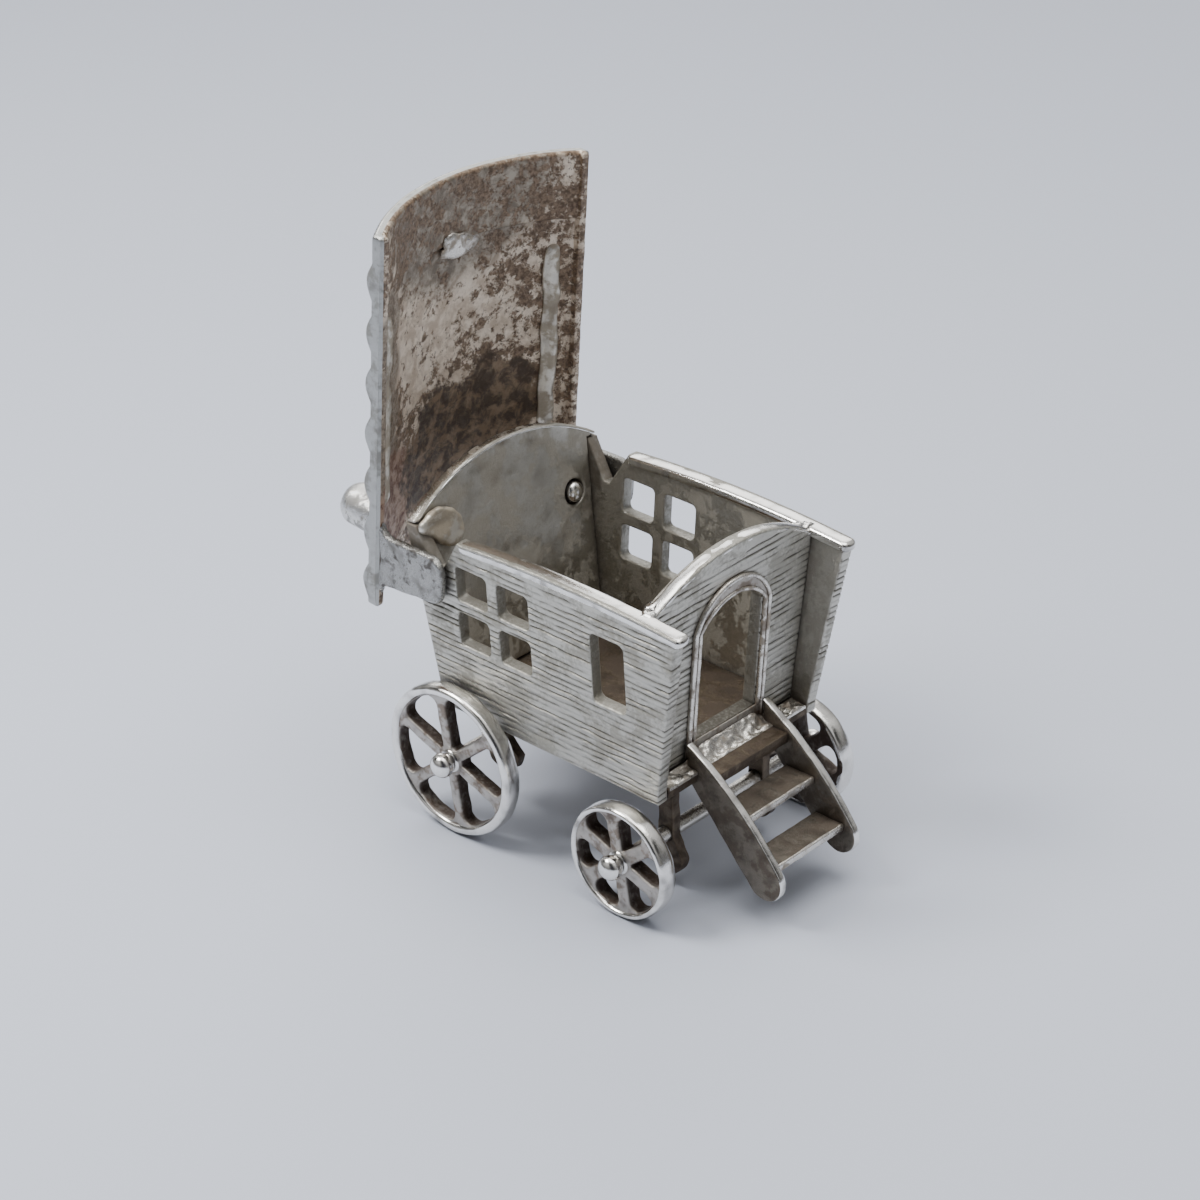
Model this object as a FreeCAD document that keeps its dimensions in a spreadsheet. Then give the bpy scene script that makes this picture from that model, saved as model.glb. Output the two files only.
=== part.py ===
"""Opening charm in the shape of a vardo wagon, cast in silver, roof lid hinged at the rear.

Frame: +X forward (towards the steps), +Y to the left, +Z up, wheels standing on Z = 0.
All lengths are millimetres and all angles are degrees. The lid is stored standing open.
"""
import FreeCAD, Part
import math
import os
import Sketcher

os.makedirs("parts", exist_ok=True)

doc = FreeCAD.newDocument("VardoCharm")
Vector = FreeCAD.Vector
X_AXIS = Vector(1, 0, 0)
Y_AXIS = Vector(0, 1, 0)
SIDES = (("right", -1), ("left", 1))

# Driving dimensions, one row each: name, value, what it is
DIMENSIONS = (
    ("OriginToFrontAxle", 6.74, "distance of the front axle ahead of the frame's origin"),
    ("Wheelbase", 10.9, "front axle to rear axle"),
    ("TrackHalf", 6.6, "centre plane to the middle of a wheel"),
    ("RearWheelRadius", 4.0, "rear wheel over its rim"),
    ("FrontWheelRadius", 2.95, "front wheel over its rim"),
    ("RimHalfWidth", 0.5, "half the width of a rim along its axle"),
    ("RearRimDepth", 0.58, "rear rim, outside to inside"),
    ("FrontRimDepth", 0.38, "front rim, outside to inside"),
    ("RimCornerCut", 0.22, "bevelled corners of a rim"),
    ("HubRadius", 0.55, "radius of a hub barrel"),
    ("HubOuterLength", 0.48, "hub barrel outboard of the wheel's middle"),
    ("SpokeWidth", 0.62, "spoke between two openings"),
    ("SpokeThickness", 0.56, "spoke thickness along the axle"),
    ("SpokeCount", 6, "spokes in a wheel"),
    ("SpokeSlant", 10, "a spoke behind the vertical, degrees"),
    ("PetalRoot", 0.82, "wheel's centre to an opening between spokes"),
    ("PetalCornerRadius", 0.45, "rounded corners of an opening between spokes, at the rim"),
    ("AxleRadius", 0.38, "axle bar between the wheels"),
    ("JournalRadius", 0.24, "axle inside a hub"),
    ("JournalClearance", 0.04, "radial gap between a journal and its hub"),
    ("AxleEndPlay", 0.05, "gap at each end of a hub"),
    ("AxleHeadRadius", 0.62, "radius of the balled head outside a hub"),
    ("AxleHeadHeight", 0.86, "height of the balled head"),
    ("FitGap", 0.02, "gap at a seat between two soldered pieces"),
    ("FloorHeight", 6.15, "ground to the underside of the floor"),
    ("FloorThickness", 0.55, "floor plate"),
    ("RailHeight", 15.8, "ground to the top of the side walls"),
    ("BottomHalfWidth", 5.8, "centre plane to a side wall's outer face, at the floor"),
    ("TopHalfWidth", 6.4, "centre plane to a side wall's outer face, at the rail"),
    ("BottomFrontReach", 1.45, "body's front edge ahead of the front axle, at the floor"),
    ("TopFrontReach", 3.0, "body's front edge ahead of the front axle, at the rail"),
    ("BottomRearReach", 1.5, "body's rear edge behind the rear axle, at the floor"),
    ("TopRearReach", 3.0, "body's rear edge behind the rear axle, at the rail"),
    ("RailCamber", 0.3, "rise of the rail's middle over its ends"),
    ("RailEdgeRadius", 0.3, "rounded outer edge of the rail"),
    ("WallThickness", 0.7, "side walls"),
    ("FrontWallThickness", 0.75, "front wall"),
    ("RearWallThickness", 0.65, "rear wall"),
    ("FrontWallFootReach", 0.45, "front wall's outer face ahead of the front axle, at the floor"),
    ("FrontWallTopReach", 1.05, "front wall's outer face ahead of the front axle, at the rail"),
    ("FrontArchRise", 1.7, "front wall's arch above the rail"),
    ("RearArchRise", 2.08, "rear wall's arch above the rail"),
    ("ArchShoulderRise", 0.12, "rear wall's arch above the rail at its ends"),
    ("RearArchHalfWidth", 6.3, "rear wall's arch over the side walls"),
    ("ShoulderGap", 0.04, "gap between the rail and the rear wall's shoulder"),
    ("DoorHalfWidth", 2.2, "half the doorway"),
    ("DoorSillAboveFloor", 0.95, "floor plate's top to the doorway's sill"),
    ("DoorSpringBelowRail", 2.15, "rail to where the doorway's arch starts"),
    ("DoorRise", 1.15, "doorway's arch above its start"),
    ("ArchitraveWidth", 0.55, "raised frame beside the doorway"),
    ("ArchitraveCrownWidth", 0.95, "raised frame over the doorway's crown"),
    ("ArchitraveThickness", 0.22, "raised frame standing off the front wall"),
    ("PaneWidth", 2.0, "window pane"),
    ("PaneHeight", 1.85, "window pane"),
    ("PaneBarWidth", 0.65, "bar between two panes"),
    ("WindowAheadOfHinge", 4.45, "window's middle ahead of the lid's pivot"),
    ("WindowCentreBelowRail", 3.45, "rail to the window's middle"),
    ("LancetWidth", 2.05, "tall window near the porch"),
    ("LancetHeight", 3.75, "tall window near the porch"),
    ("LancetCentreBehind", 1.3, "tall window's middle behind the front axle"),
    ("LancetCentreBelowRail", 3.5, "rail to the tall window's middle"),
    ("PaneCornerCut", 0.22, "bevelled corners of the windows"),
    ("NotchWidth", 2.65, "notch in the side wall, at the rail"),
    ("NotchDepth", 1.9, "notch in the side wall, below the rail"),
    ("NotchFootWidth", 0.35, "notch in the side wall, at its foot"),
    ("RearStudRadius", 0.52, "domed stud in the rear wall"),
    ("RearStudGap", 0.14, "ring-shaped gap round the stud"),
    ("RearStudAcross", 4.3, "stud to the left of the centre plane"),
    ("RearStudBelowRail", 2.33, "rail to the stud"),
    ("RearStudProud", 0.3, "stud's dome inside the rear wall"),
    ("RearStudHeadRadius", 0.85, "stud's flat head outside the rear wall"),
    ("RearStudHeadHeight", 0.2, "stud's flat head outside the rear wall"),
    ("TabLength", 1.9, "solder tab across the rear wall"),
    ("TabHeight", 2.3, "solder tab, up the rear wall"),
    ("TabThickness", 0.35, "solder tab"),
    ("TabFootBelowRail", 1.65, "rail to the tab's lower edge"),
    ("StepHalfWidth", 2.5, "centre plane to a stringer's inner face"),
    ("StringerThickness", 0.5, "stringer board"),
    ("StringerFootRadius", 1.03, "rounded foot of a stringer board"),
    ("StringerFootAngle", 45, "how far round its foot a stringer's edges leave"),
    ("StringerBow", 0.38, "rise of a stringer's top edge over its ends"),
    ("StringerStart", 0.8, "stringer's plumb cut ahead of the front axle"),
    ("StringerLowHeight", 6.13, "ground to the stringer's plumb cut, lower end"),
    ("StringerHighHeight", 7.9, "ground to the stringer's plumb cut, upper end"),
    ("StringerFootReach", 5.55, "stringer's foot centre ahead of the front axle"),
    ("StringerFootHeight", 2.35, "ground to the stringer's foot centre"),
    ("LandingReach", 2.4, "porch floor's front edge ahead of the front axle"),
    ("TreadThickness", 0.42, "tread plate"),
    ("TreadDepth", 1.75, "tread plate, front to back"),
    ("UpperTreadReach", 4.05, "upper tread's front edge ahead of the front axle"),
    ("UpperTreadHeight", 4.93, "ground to the upper tread's top"),
    ("LowerTreadReach", 5.9, "lower tread's front edge ahead of the front axle"),
    ("LowerTreadHeight", 3.07, "ground to the lower tread's top"),
    ("HangerAcross", 3.3, "centre plane to the middle of an axle hanger"),
    ("HangerThickness", 0.55, "axle hanger plate"),
    ("HangerRadius", 1.05, "rounded foot of a hanger"),
    ("HangerWaistWidth", 1.0, "hanger at its axle"),
    ("HangerStemWidth", 0.75, "hanger at the floor"),
    ("FrontHangerDrop", 1.2, "centre of a front hanger's foot below its axle"),
    ("RearHangerDrop", 0.87, "centre of a rear hanger's foot below its axle"),
    ("RearHangerLead", 0.3, "centre of a rear hanger's foot ahead of its axle"),
    ("HingeInset", 0.95, "lid's pivot ahead of the side wall's rear end at the rail"),
    ("HingeBelowRail", 2.45, "rail to the lid's pivot"),
    ("HingePinRadius", 0.25, "pivot pins"),
    ("HingeClearance", 0.04, "radial gap between a pivot pin and its ear"),
    ("HingeOpenAngle", 86, "how far the lid stands open"),
    ("EaveAbovePivot", 2.32, "eaves' lower edge above the pivot, lid closed"),
    ("RoofHalfWidth", 7.0, "centre plane to the outside of an eave"),
    ("RoofRise", 3.0, "eaves' lower edge to the top of the roof"),
    ("RoofSideHeight", 0.62, "upright outside of an eave, between two scallops"),
    ("RoofThickness", 0.5, "roof shell"),
    ("RoofFrontReach", 17.0, "roof ahead of the pivot, lid closed"),
    ("RoofRearReach", 2.75, "roof behind the pivot, lid closed"),
    ("SoffitThickness", 0.15, "thicker roof over the porch"),
    ("SoffitLength", 3.9, "thicker roof over the porch, from the front rim"),
    ("LobeCount", 8, "scallops along an eave, the front one cut by the rim"),
    ("LobePitch", 2.66, "spacing of the scallops"),
    ("LobeHeight", 0.38, "how far a scallop stands up"),
    ("LobeThickness", 0.3, "scalloped cornice"),
    ("LobeBury", 0.2, "scallops sunk into the eave"),
    ("EarRootHalfWidth", 1.35, "half the lid's ear, at the eave"),
    ("EarHalfWidth", 0.92, "half the lid's ear, at its end"),
    ("EarCornerRadius", 0.62, "rounded corners at the ear's end"),
    ("EarFlareRadius", 0.6, "hollow where the ear meets the eave"),
    ("EarTipBelowPivot", 1.74, "ear's end below the pivot"),
    ("EarThickness", 0.45, "ear plate"),
    ("EarInset", 0.1, "ear's outer face inside the eave's"),
    ("ChimneyRadius", 1.1, "chimney stub"),
    ("ChimneyHeight", 1.85, "chimney stub above the top of the roof"),
    ("ChimneyDomeHeight", 0.7, "rounded top of the chimney"),
    ("ChimneyAcross", 4.6, "chimney to the right of the centre plane"),
    ("ChimneyAhead", 0.6, "chimney ahead of the pivot, lid closed"),
    ("EyeAhead", 12.9, "hanging eye ahead of the pivot, lid closed"),
    ("EyeBoreRadius", 0.6, "hole of the hanging eye"),
    ("EyeRadius", 1.15, "outside of the hanging eye"),
    ("EyeThickness", 0.6, "hanging eye plate"),
    ("EyeStandOff", 0.95, "eye's centre above the roof's outside"),
    ("CutOverrun", 1.0, "how far a cutting tool passes a face"),
)

sheet = doc.addObject("Spreadsheet::Sheet", "Sizes")
for row, (alias, value, meaning) in enumerate(DIMENSIONS, start=1):
    sheet.set(f"A{row}", meaning)
    sheet.set(f"B{row}", str(value))
    sheet.setAlias(f"B{row}", alias)
doc.recompute()


def sized(expression):
    """Put the sheet's name before each size name in an expression."""
    names = sorted((name for name, _, _ in DIMENSIONS), key=len, reverse=True)
    out = expression
    for name in names:
        out = out.replace(name, "@" + str(names.index(name)) + "@")
    for index, name in enumerate(names):
        out = out.replace("@" + str(index) + "@", "Sizes." + name)
    return out


def number(expression):
    return float(sheet.evalExpression(sized(expression)))


def bind(thing, **properties):
    """Bind properties to expressions; a double underscore in a key stands for a dot."""
    for key, expression in properties.items():
        thing.setExpression(key.replace("__", "."), sized(expression))


def place(thing, x="0", y="0", z="0", axis=None, angle="0"):
    """Place a finished sub-part from the sheet, turned about an axis when one is given."""
    if axis is not None:
        thing.Placement = FreeCAD.Placement(Vector(), FreeCAD.Rotation(axis, 1))
        bind(thing, Placement__Rotation__Angle=angle)
    bind(thing, Placement__Base__x=x, Placement__Base__y=y, Placement__Base__z=z)


def new_body(label):
    body = doc.addObject("PartDesign::Body", label)
    body.Label = label
    return body


def plane_of(body, role):
    return next(item for item in body.Origin.OriginFeatures if item.Role == role)


def new_sketch(body, name, role="XZ_Plane", offset=None):
    """Sketch on one of the body's own planes, moved along its normal when asked."""
    sketch = body.newObject("Sketcher::SketchObject", name)
    sketch.AttachmentSupport = [(plane_of(body, role), "")]
    sketch.MapMode = "FlatFace"
    if offset is not None:
        bind(sketch, AttachmentOffset__Base__z=offset)
    return sketch


def pin_down(sketch, geometry, which, x=None, y=None):
    """Hold one point of a sketch at a place worked out from the sheet."""
    for kind, expression in (("DistanceX", x), ("DistanceY", y)):
        if expression is not None:
            value = number(expression)
            index = sketch.addConstraint(Sketcher.Constraint(kind, -1, 1, geometry, which, value))
            sketch.setExpression(f"Constraints[{index}]", sized(expression))


def trace(sketch, corners):
    """Closed outline through corners (x, y), in expressions.

    A third item makes the edge that follows an arc: its centre (cx, cy) and its turn, +1 or -1.
    A corner that ends an arc is held in one direction only, marked by a fourth item, "x" or "y".
    """
    count = len(corners)
    spots = [Vector(number(corner[0]), number(corner[1]), 0) for corner in corners]
    first = len(sketch.Geometry)
    arcs = {}
    for index, corner in enumerate(corners):
        start = spots[index]
        end = spots[(index + 1) % count]
        if len(corner) > 2 and corner[2]:
            cx, cy, turn = corner[2]
            centre = Vector(number(cx), number(cy), 0)
            arcs[index] = turn
            radius = (start - centre).Length
            from_angle = math.atan2(start.y - centre.y, start.x - centre.x)
            to_angle = math.atan2(end.y - centre.y, end.x - centre.x)
            if turn < 0:
                from_angle, to_angle = to_angle, from_angle
            circle = Part.Circle(centre, Vector(0, 0, 1), radius)
            sketch.addGeometry(Part.ArcOfCircle(circle, from_angle, to_angle), False)
        else:
            sketch.addGeometry(Part.LineSegment(start, end), False)

    def ends(index):
        return (2, 1) if arcs.get(index, 1) < 0 else (1, 2)

    for index in range(count):
        following = (index + 1) % count
        sketch.addConstraint(Sketcher.Constraint(
            "Coincident", first + index, ends(index)[1], first + following, ends(following)[0]))
    for index, corner in enumerate(corners):
        held = corner[3] if len(corner) > 3 else "xy"
        x = corner[0] if "x" in held else None
        y = corner[1] if "y" in held else None
        pin_down(sketch, first + index, ends(index)[0], x, y)
        if index in arcs:
            pin_down(sketch, first + index, 3, corner[2][0], corner[2][1])


def ring(sketch, x, y, radius):
    """Circle held at a place and with a radius, both in expressions."""
    circle = Part.Circle(Vector(number(x), number(y), 0), Vector(0, 0, 1), number(radius))
    index = sketch.addGeometry(circle, False)
    pin_down(sketch, index, 3, x, y)
    held = sketch.addConstraint(Sketcher.Constraint("Radius", index, number(radius)))
    sketch.setExpression(f"Constraints[{held}]", sized(radius))


def bevelled_window(sketch, x, y, width, height):
    """Rectangle with bevelled corners about a centre, in expressions."""
    def at(across, up, cut_across, cut_up):
        return (f"({x}) + {across} * (({width}) / 2 - {cut_across} * PaneCornerCut)",
                f"({y}) + {up} * (({height}) / 2 - {cut_up} * PaneCornerCut)")

    trace(sketch, [at(-1, -1, 1, 0), at(1, -1, 1, 0), at(1, -1, 0, 1), at(1, 1, 0, 1),
                   at(1, 1, 1, 0), at(-1, 1, 1, 0), at(-1, 1, 0, 1), at(-1, -1, 0, 1)])


def pad(body, sketch, length, reverse=False, both=False):
    feature = body.newObject("PartDesign::Pad", sketch.Name + "Pad")
    feature.Profile = sketch
    feature.Reversed = reverse
    feature.Midplane = both
    bind(feature, Length=length)
    body.Tip = feature
    return feature


def pocket(body, sketch, length, reverse=False, both=False):
    feature = body.newObject("PartDesign::Pocket", sketch.Name + "Pocket")
    feature.Profile = sketch
    feature.Reversed = reverse
    feature.Midplane = both
    bind(feature, Length=length)
    body.Tip = feature
    return feature


def revolve(body, sketch, axis="H_Axis"):
    """Turn a profile about one of the sketch's axes."""
    feature = body.newObject("PartDesign::Revolution", sketch.Name + "Turned")
    feature.Profile = sketch
    feature.ReferenceAxis = (sketch, [axis])
    feature.Angle = 360
    body.Tip = feature
    return feature


def repeat(body, sketch, feature, axis, length, count):
    """Row of copies of a feature along one of a sketch's axes."""
    row = body.newObject("PartDesign::LinearPattern", sketch.Name + "Row")
    row.Originals = [feature]
    row.Direction = (sketch, [axis])
    bind(row, Length=length, Occurrences=count)
    body.Tip = row
    doc.recompute()
    return row


def bow_centre(x0, z0, x1, z1, rise):
    """Centre of a shallow arc between two points, bulging away from the lower left."""
    chord = f"sqrt((({x1}) - ({x0}))^2 + (({z0}) - ({z1}))^2)"
    share = f"((({chord}) / 2)^2 - ({rise})^2) / (2 * ({rise}) * {chord})"
    return (f"((({x0}) + ({x1})) / 2 - (({z0}) - ({z1})) * {share})",
            f"((({z0}) + ({z1})) / 2 - (({x1}) - ({x0})) * {share})")


def dome_corners(base, radius, height, sign="1"):
    """Half profile of a dome in two flat bands, from its rim to its top."""
    return [(f"{base} + ({sign}) * {height} * sin({turn})", f"{radius} * cos({turn})")
            for turn in (0, 45)]


# Slopes shared by the walls, the floor and the porch
WALL_RISE = "(RailHeight - FloorHeight - FloorThickness)"
SIDE_LEAN = f"atan((TopHalfWidth - BottomHalfWidth) / {WALL_RISE})"
FRONT_LEAN = f"atan((FrontWallTopReach - FrontWallFootReach) / {WALL_RISE})"
REAR_LEAN = f"atan((TopRearReach - BottomRearReach) / {WALL_RISE})"
FLOOR_TOP = "(FloorHeight + FloorThickness)"
REAR_BOTTOM = "(Wheelbase + BottomRearReach)"
REAR_TOP = "(Wheelbase + TopRearReach)"
HINGE_HEIGHT = "(RailHeight - HingeBelowRail)"
HINGE_BEHIND = f"({REAR_TOP} - HingeInset)"


def inner_half(height):
    """Half the clear width between the side walls at a height."""
    lean = f"(TopHalfWidth - BottomHalfWidth) / {WALL_RISE}"
    return (f"(BottomHalfWidth + (({height}) - {FLOOR_TOP}) * {lean}"
            f" - WallThickness / cos({SIDE_LEAN}) - FitGap)")


def make_floor():
    """Floor plate between the side walls, with a porch tongue slotted for the stringers."""
    body = new_body("floor")
    sketch = new_sketch(body, "FloorPlan", "XY_Plane")
    stringer_out = "(StepHalfWidth + StringerThickness)"
    edge = f"({inner_half(FLOOR_TOP)} - FloorThickness * tan({SIDE_LEAN}))"
    half = [
        (f"-{REAR_BOTTOM}", edge),
        ("BottomFrontReach", edge),
        ("BottomFrontReach", stringer_out),
        ("StringerStart", stringer_out),
        ("StringerStart", "StepHalfWidth"),
        ("LandingReach", "StepHalfWidth"),
    ]
    mirrored = [(x, f"-({y})") for x, y in reversed(half)]
    trace(sketch, half + mirrored)
    pad(body, sketch, "FloorThickness")
    place(body, "OriginToFrontAxle", "0", "FloorHeight")


def make_side_wall(side, sign):
    """Leaning side wall with its windows and the notch beside the rear wall."""
    body = new_body(f"side_wall_{side}")
    slant = f"({WALL_RISE} / cos({SIDE_LEAN}))"

    def up(height):
        return f"(({height}) - {FLOOR_TOP}) / cos({SIDE_LEAN})"

    outline = new_sketch(body, f"WallOutline{side}")
    notch_rear = f"-({REAR_TOP} - RearWallThickness)"
    notch_front = f"({notch_rear} + NotchWidth)"
    notch_foot = f"({notch_rear} + NotchWidth / 2)"
    skirt = f"-FloorThickness / cos({SIDE_LEAN})"
    trace(outline, [
        (f"-{REAR_BOTTOM}", "0"),
        (f"-{REAR_BOTTOM}", skirt),
        ("BottomFrontReach", skirt),
        ("BottomFrontReach", "0"),
        ("TopFrontReach", slant, (*bow_centre(notch_front, slant, "TopFrontReach", slant, "RailCamber"), 1)),
        (notch_front, slant, None, "x"),
        (f"{notch_foot} + NotchFootWidth / 2", f"{slant} - NotchDepth"),
        (f"{notch_foot} - NotchFootWidth / 2", f"{slant} - NotchDepth"),
        (notch_rear, slant),
        (f"-{REAR_TOP}", slant),
    ])
    slab = pad(body, outline, "WallThickness", reverse=sign < 0)
    doc.recompute()
    bowed = [(abs(edge.CenterOfMass.y), f"Edge{index}")
             for index, edge in enumerate(slab.Shape.Edges, start=1)
             if isinstance(edge.Curve, Part.Circle)]
    rail = body.newObject("PartDesign::Fillet", f"WallRail{side}")
    rail.Base = (slab, [min(bowed)[1]])
    bind(rail, Radius="RailEdgeRadius")
    body.Tip = rail
    windows = new_sketch(body, f"WallWindows{side}")
    middle = up("RailHeight - WindowCentreBelowRail")
    for across in (-1, 1):
        for upward in (-1, 1):
            bevelled_window(windows,
                            f"WindowAheadOfHinge - {HINGE_BEHIND} + {across} * (PaneWidth + PaneBarWidth) / 2",
                            f"{middle} + {upward} * (PaneHeight + PaneBarWidth) / 2",
                            "PaneWidth", "PaneHeight")
    bevelled_window(windows, "-LancetCentreBehind", up("RailHeight - LancetCentreBelowRail"),
                    "LancetWidth", "LancetHeight")
    slack = f"FitGap + WallThickness * tan({SIDE_LEAN})"
    ring(windows, f"-{HINGE_BEHIND}", up(HINGE_HEIGHT), f"HingePinRadius + {slack}")
    pocket(body, windows, "WallThickness + CutOverrun", reverse=sign > 0)
    place(body, "OriginToFrontAxle", f"{sign} * BottomHalfWidth", FLOOR_TOP,
          Vector(-sign, 0, 0), SIDE_LEAN)


def arch_centre(half, rise):
    """Drop of a round arch's centre below its ends."""
    return f"((({half})^2 - ({rise})^2) / (2 * ({rise})))"


def make_front_wall():
    """Arched front wall, set back behind the porch, with a doorway and its raised frame."""
    body = new_body("front_wall")
    slant = f"({WALL_RISE} / cos({FRONT_LEAN}))"

    def up(height):
        return f"((({height}) - {FLOOR_TOP}) / cos({FRONT_LEAN}))"

    foot = inner_half(FLOOR_TOP)
    top = inner_half("RailHeight")
    drop = arch_centre(top, "FrontArchRise")
    plate = new_sketch(body, "FrontPlate", "YZ_Plane")
    trace(plate, [
        (f"-{foot}", "0"),
        (foot, "0"),
        (top, slant, ("0", f"{slant} - {drop}", 1)),
        (f"-{top}", slant, None, "x"),
    ])
    pad(body, plate, "FrontWallThickness", reverse=True)

    def door_outline(sketch, half, rise, foot_level):
        spring = up("RailHeight - DoorSpringBelowRail")
        trace(sketch, [
            (f"-{half}", foot_level),
            (half, foot_level),
            (half, spring, ("0", f"{spring} - {arch_centre(half, rise)}", 1)),
            (f"-{half}", spring, None, "x"),
        ])

    frame = new_sketch(body, "DoorFrame", "YZ_Plane")
    door_outline(frame, "(DoorHalfWidth + ArchitraveWidth)", "(DoorRise + ArchitraveCrownWidth)",
                 f"ArchitraveThickness * tan({FRONT_LEAN}) + FitGap")
    pad(body, frame, "ArchitraveThickness")
    opening = new_sketch(body, "DoorOpening", "YZ_Plane")
    door_outline(opening, "DoorHalfWidth", "DoorRise", f"DoorSillAboveFloor / cos({FRONT_LEAN})")
    pocket(body, opening, "2 * (FrontWallThickness + ArchitraveThickness)", both=True)
    place(body, "OriginToFrontAxle + FrontWallFootReach", "0", FLOOR_TOP, Y_AXIS, FRONT_LEAN)


def make_rear_wall():
    """Arched rear wall, its lower part between the side walls, with the hole for the stud."""
    body = new_body("rear_wall")
    slant = f"({WALL_RISE} / cos({REAR_LEAN}))"

    def up(height):
        return f"((({height}) - {FLOOR_TOP}) / cos({REAR_LEAN}))"

    foot = inner_half(FLOOR_TOP)
    top = inner_half("RailHeight")
    shoulder = f"({slant} + ShoulderGap)"
    arch_end = f"({slant} + ArchShoulderRise)"
    drop = arch_centre("RearArchHalfWidth", "(RearArchRise - ArchShoulderRise)")
    plate = new_sketch(body, "RearPlate", "YZ_Plane")
    trace(plate, [
        (f"-{foot}", "0"),
        (foot, "0"),
        (top, slant),
        (top, shoulder),
        ("RearArchHalfWidth", shoulder),
        ("RearArchHalfWidth", arch_end, ("0", f"{arch_end} - {drop}", 1)),
        ("-RearArchHalfWidth", arch_end, None, "x"),
        ("-RearArchHalfWidth", shoulder),
        (f"-{top}", shoulder),
        (f"-{top}", slant),
    ])
    pad(body, plate, "RearWallThickness")
    hole = new_sketch(body, "RearHole", "YZ_Plane")
    ring(hole, "RearStudAcross", up("RailHeight - RearStudBelowRail"), "RearStudRadius + RearStudGap")
    pocket(body, hole, "2 * (RearWallThickness + CutOverrun)", both=True)
    place(body, f"OriginToFrontAxle - {REAR_BOTTOM}", "0", FLOOR_TOP, Vector(0, -1, 0), REAR_LEAN)


def make_rear_stud():
    """Domed stud through the rear wall, its flat head outside."""
    body = new_body("rear_stud")
    sketch = new_sketch(body, "StudProfile", "XY_Plane")
    inside = "RearWallThickness"
    dome = dome_corners(inside, "RearStudRadius", "RearStudProud")
    trace(sketch, [("-RearStudHeadHeight", "0"), (f"{inside} + RearStudProud", "0")] + dome[::-1] + [
        ("-FitGap", "RearStudRadius"),
        ("-FitGap", "RearStudHeadRadius"),
        ("-RearStudHeadHeight", "RearStudHeadRadius"),
    ])
    revolve(body, sketch)
    height = "(RailHeight - RearStudBelowRail)"
    place(body, f"OriginToFrontAxle - {REAR_BOTTOM} - ({height} - {FLOOR_TOP}) * tan({REAR_LEAN})",
          "RearStudAcross", height, Vector(0, -1, 0), REAR_LEAN)


def make_corner_tab():
    """Rounded solder tab across the near corner of the rear wall, inside."""
    body = new_body("corner_tab")
    sketch = new_sketch(body, "TabOutline", "YZ_Plane")
    shares = ((0, 0), (0.5, 0), (0.62, 0.02), (0.92, 0.26), (1, 0.42), (0.92, 0.6), (0.66, 0.78),
              (0.3, 1), (0, 0.8))
    trace(sketch, [(f"{x} * TabLength", f"{y} * TabHeight") for x, y in shares])
    pad(body, sketch, "TabThickness")
    foot = "(RailHeight - TabFootBelowRail)"
    up = f"({foot} - {FLOOR_TOP})"
    inner_face = f"RearWallThickness / cos({REAR_LEAN}) + FitGap"
    place(body, f"OriginToFrontAxle - {REAR_BOTTOM} - {up} * tan({REAR_LEAN}) + {inner_face}",
          f"-{inner_half(foot)}", foot, Vector(0, -1, 0), REAR_LEAN)


def make_stringer(side, sign):
    """Sloping board at one side of the steps, with a round foot."""
    body = new_body(f"stringer_{side}")
    sketch = new_sketch(body, f"StringerOutline{side}")
    foot_x, foot_z = "StringerFootReach", "StringerFootHeight"
    x_off = "StringerFootRadius * sin(StringerFootAngle)"
    z_off = "StringerFootRadius * cos(StringerFootAngle)"
    front = (f"{foot_x} + {x_off}", f"{foot_z} + {z_off}")
    trace(sketch, [
        ("StringerStart", "StringerLowHeight"),
        (f"{foot_x} - {x_off}", f"{foot_z} - {z_off}", (foot_x, foot_z, 1)),
        (*front, (*bow_centre("StringerStart", "StringerHighHeight", *front, "StringerBow"), 1), "x"),
        ("StringerStart", "StringerHighHeight", None, "x"),
    ])
    pad(body, sketch, "StringerThickness", reverse=sign > 0)
    place(body, "OriginToFrontAxle", f"{sign} * StepHalfWidth", "0")


def make_tread(label, reach, height):
    """Flat tread between the stringers."""
    tread = doc.addObject("Part::Box", label)
    tread.Label = label
    bind(tread, Length="TreadDepth", Width="2 * StepHalfWidth", Height="TreadThickness")
    place(tread, f"OriginToFrontAxle + {reach} - TreadDepth", "-StepHalfWidth", f"{height} - TreadThickness")


def make_hanger(label, sign, axle_x, axle_height, drop, lead):
    """Plate hanging from the floor, its round foot below the axle it carries."""
    body = new_body(label)
    sketch = new_sketch(body, label.title().replace("_", ""))
    radius, waist, stem = "HangerRadius", "HangerWaistWidth / 2", "HangerStemWidth / 2"
    top = f"(FloorHeight - {axle_height})"
    trace(sketch, [
        (f"{lead} - {radius}", f"-{drop}", (lead, f"-{drop}", 1)),
        (f"{lead} + {radius}", f"-{drop}", None, "y"),
        (waist, "0"),
        (stem, top),
        (f"-{stem}", top),
        (f"-{waist}", "0"),
    ])
    ring(sketch, "0", "0", "AxleRadius + FitGap")
    pad(body, sketch, "HangerThickness", both=True)
    place(body, f"OriginToFrontAxle + {axle_x}", f"{sign} * HangerAcross", axle_height)


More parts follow.
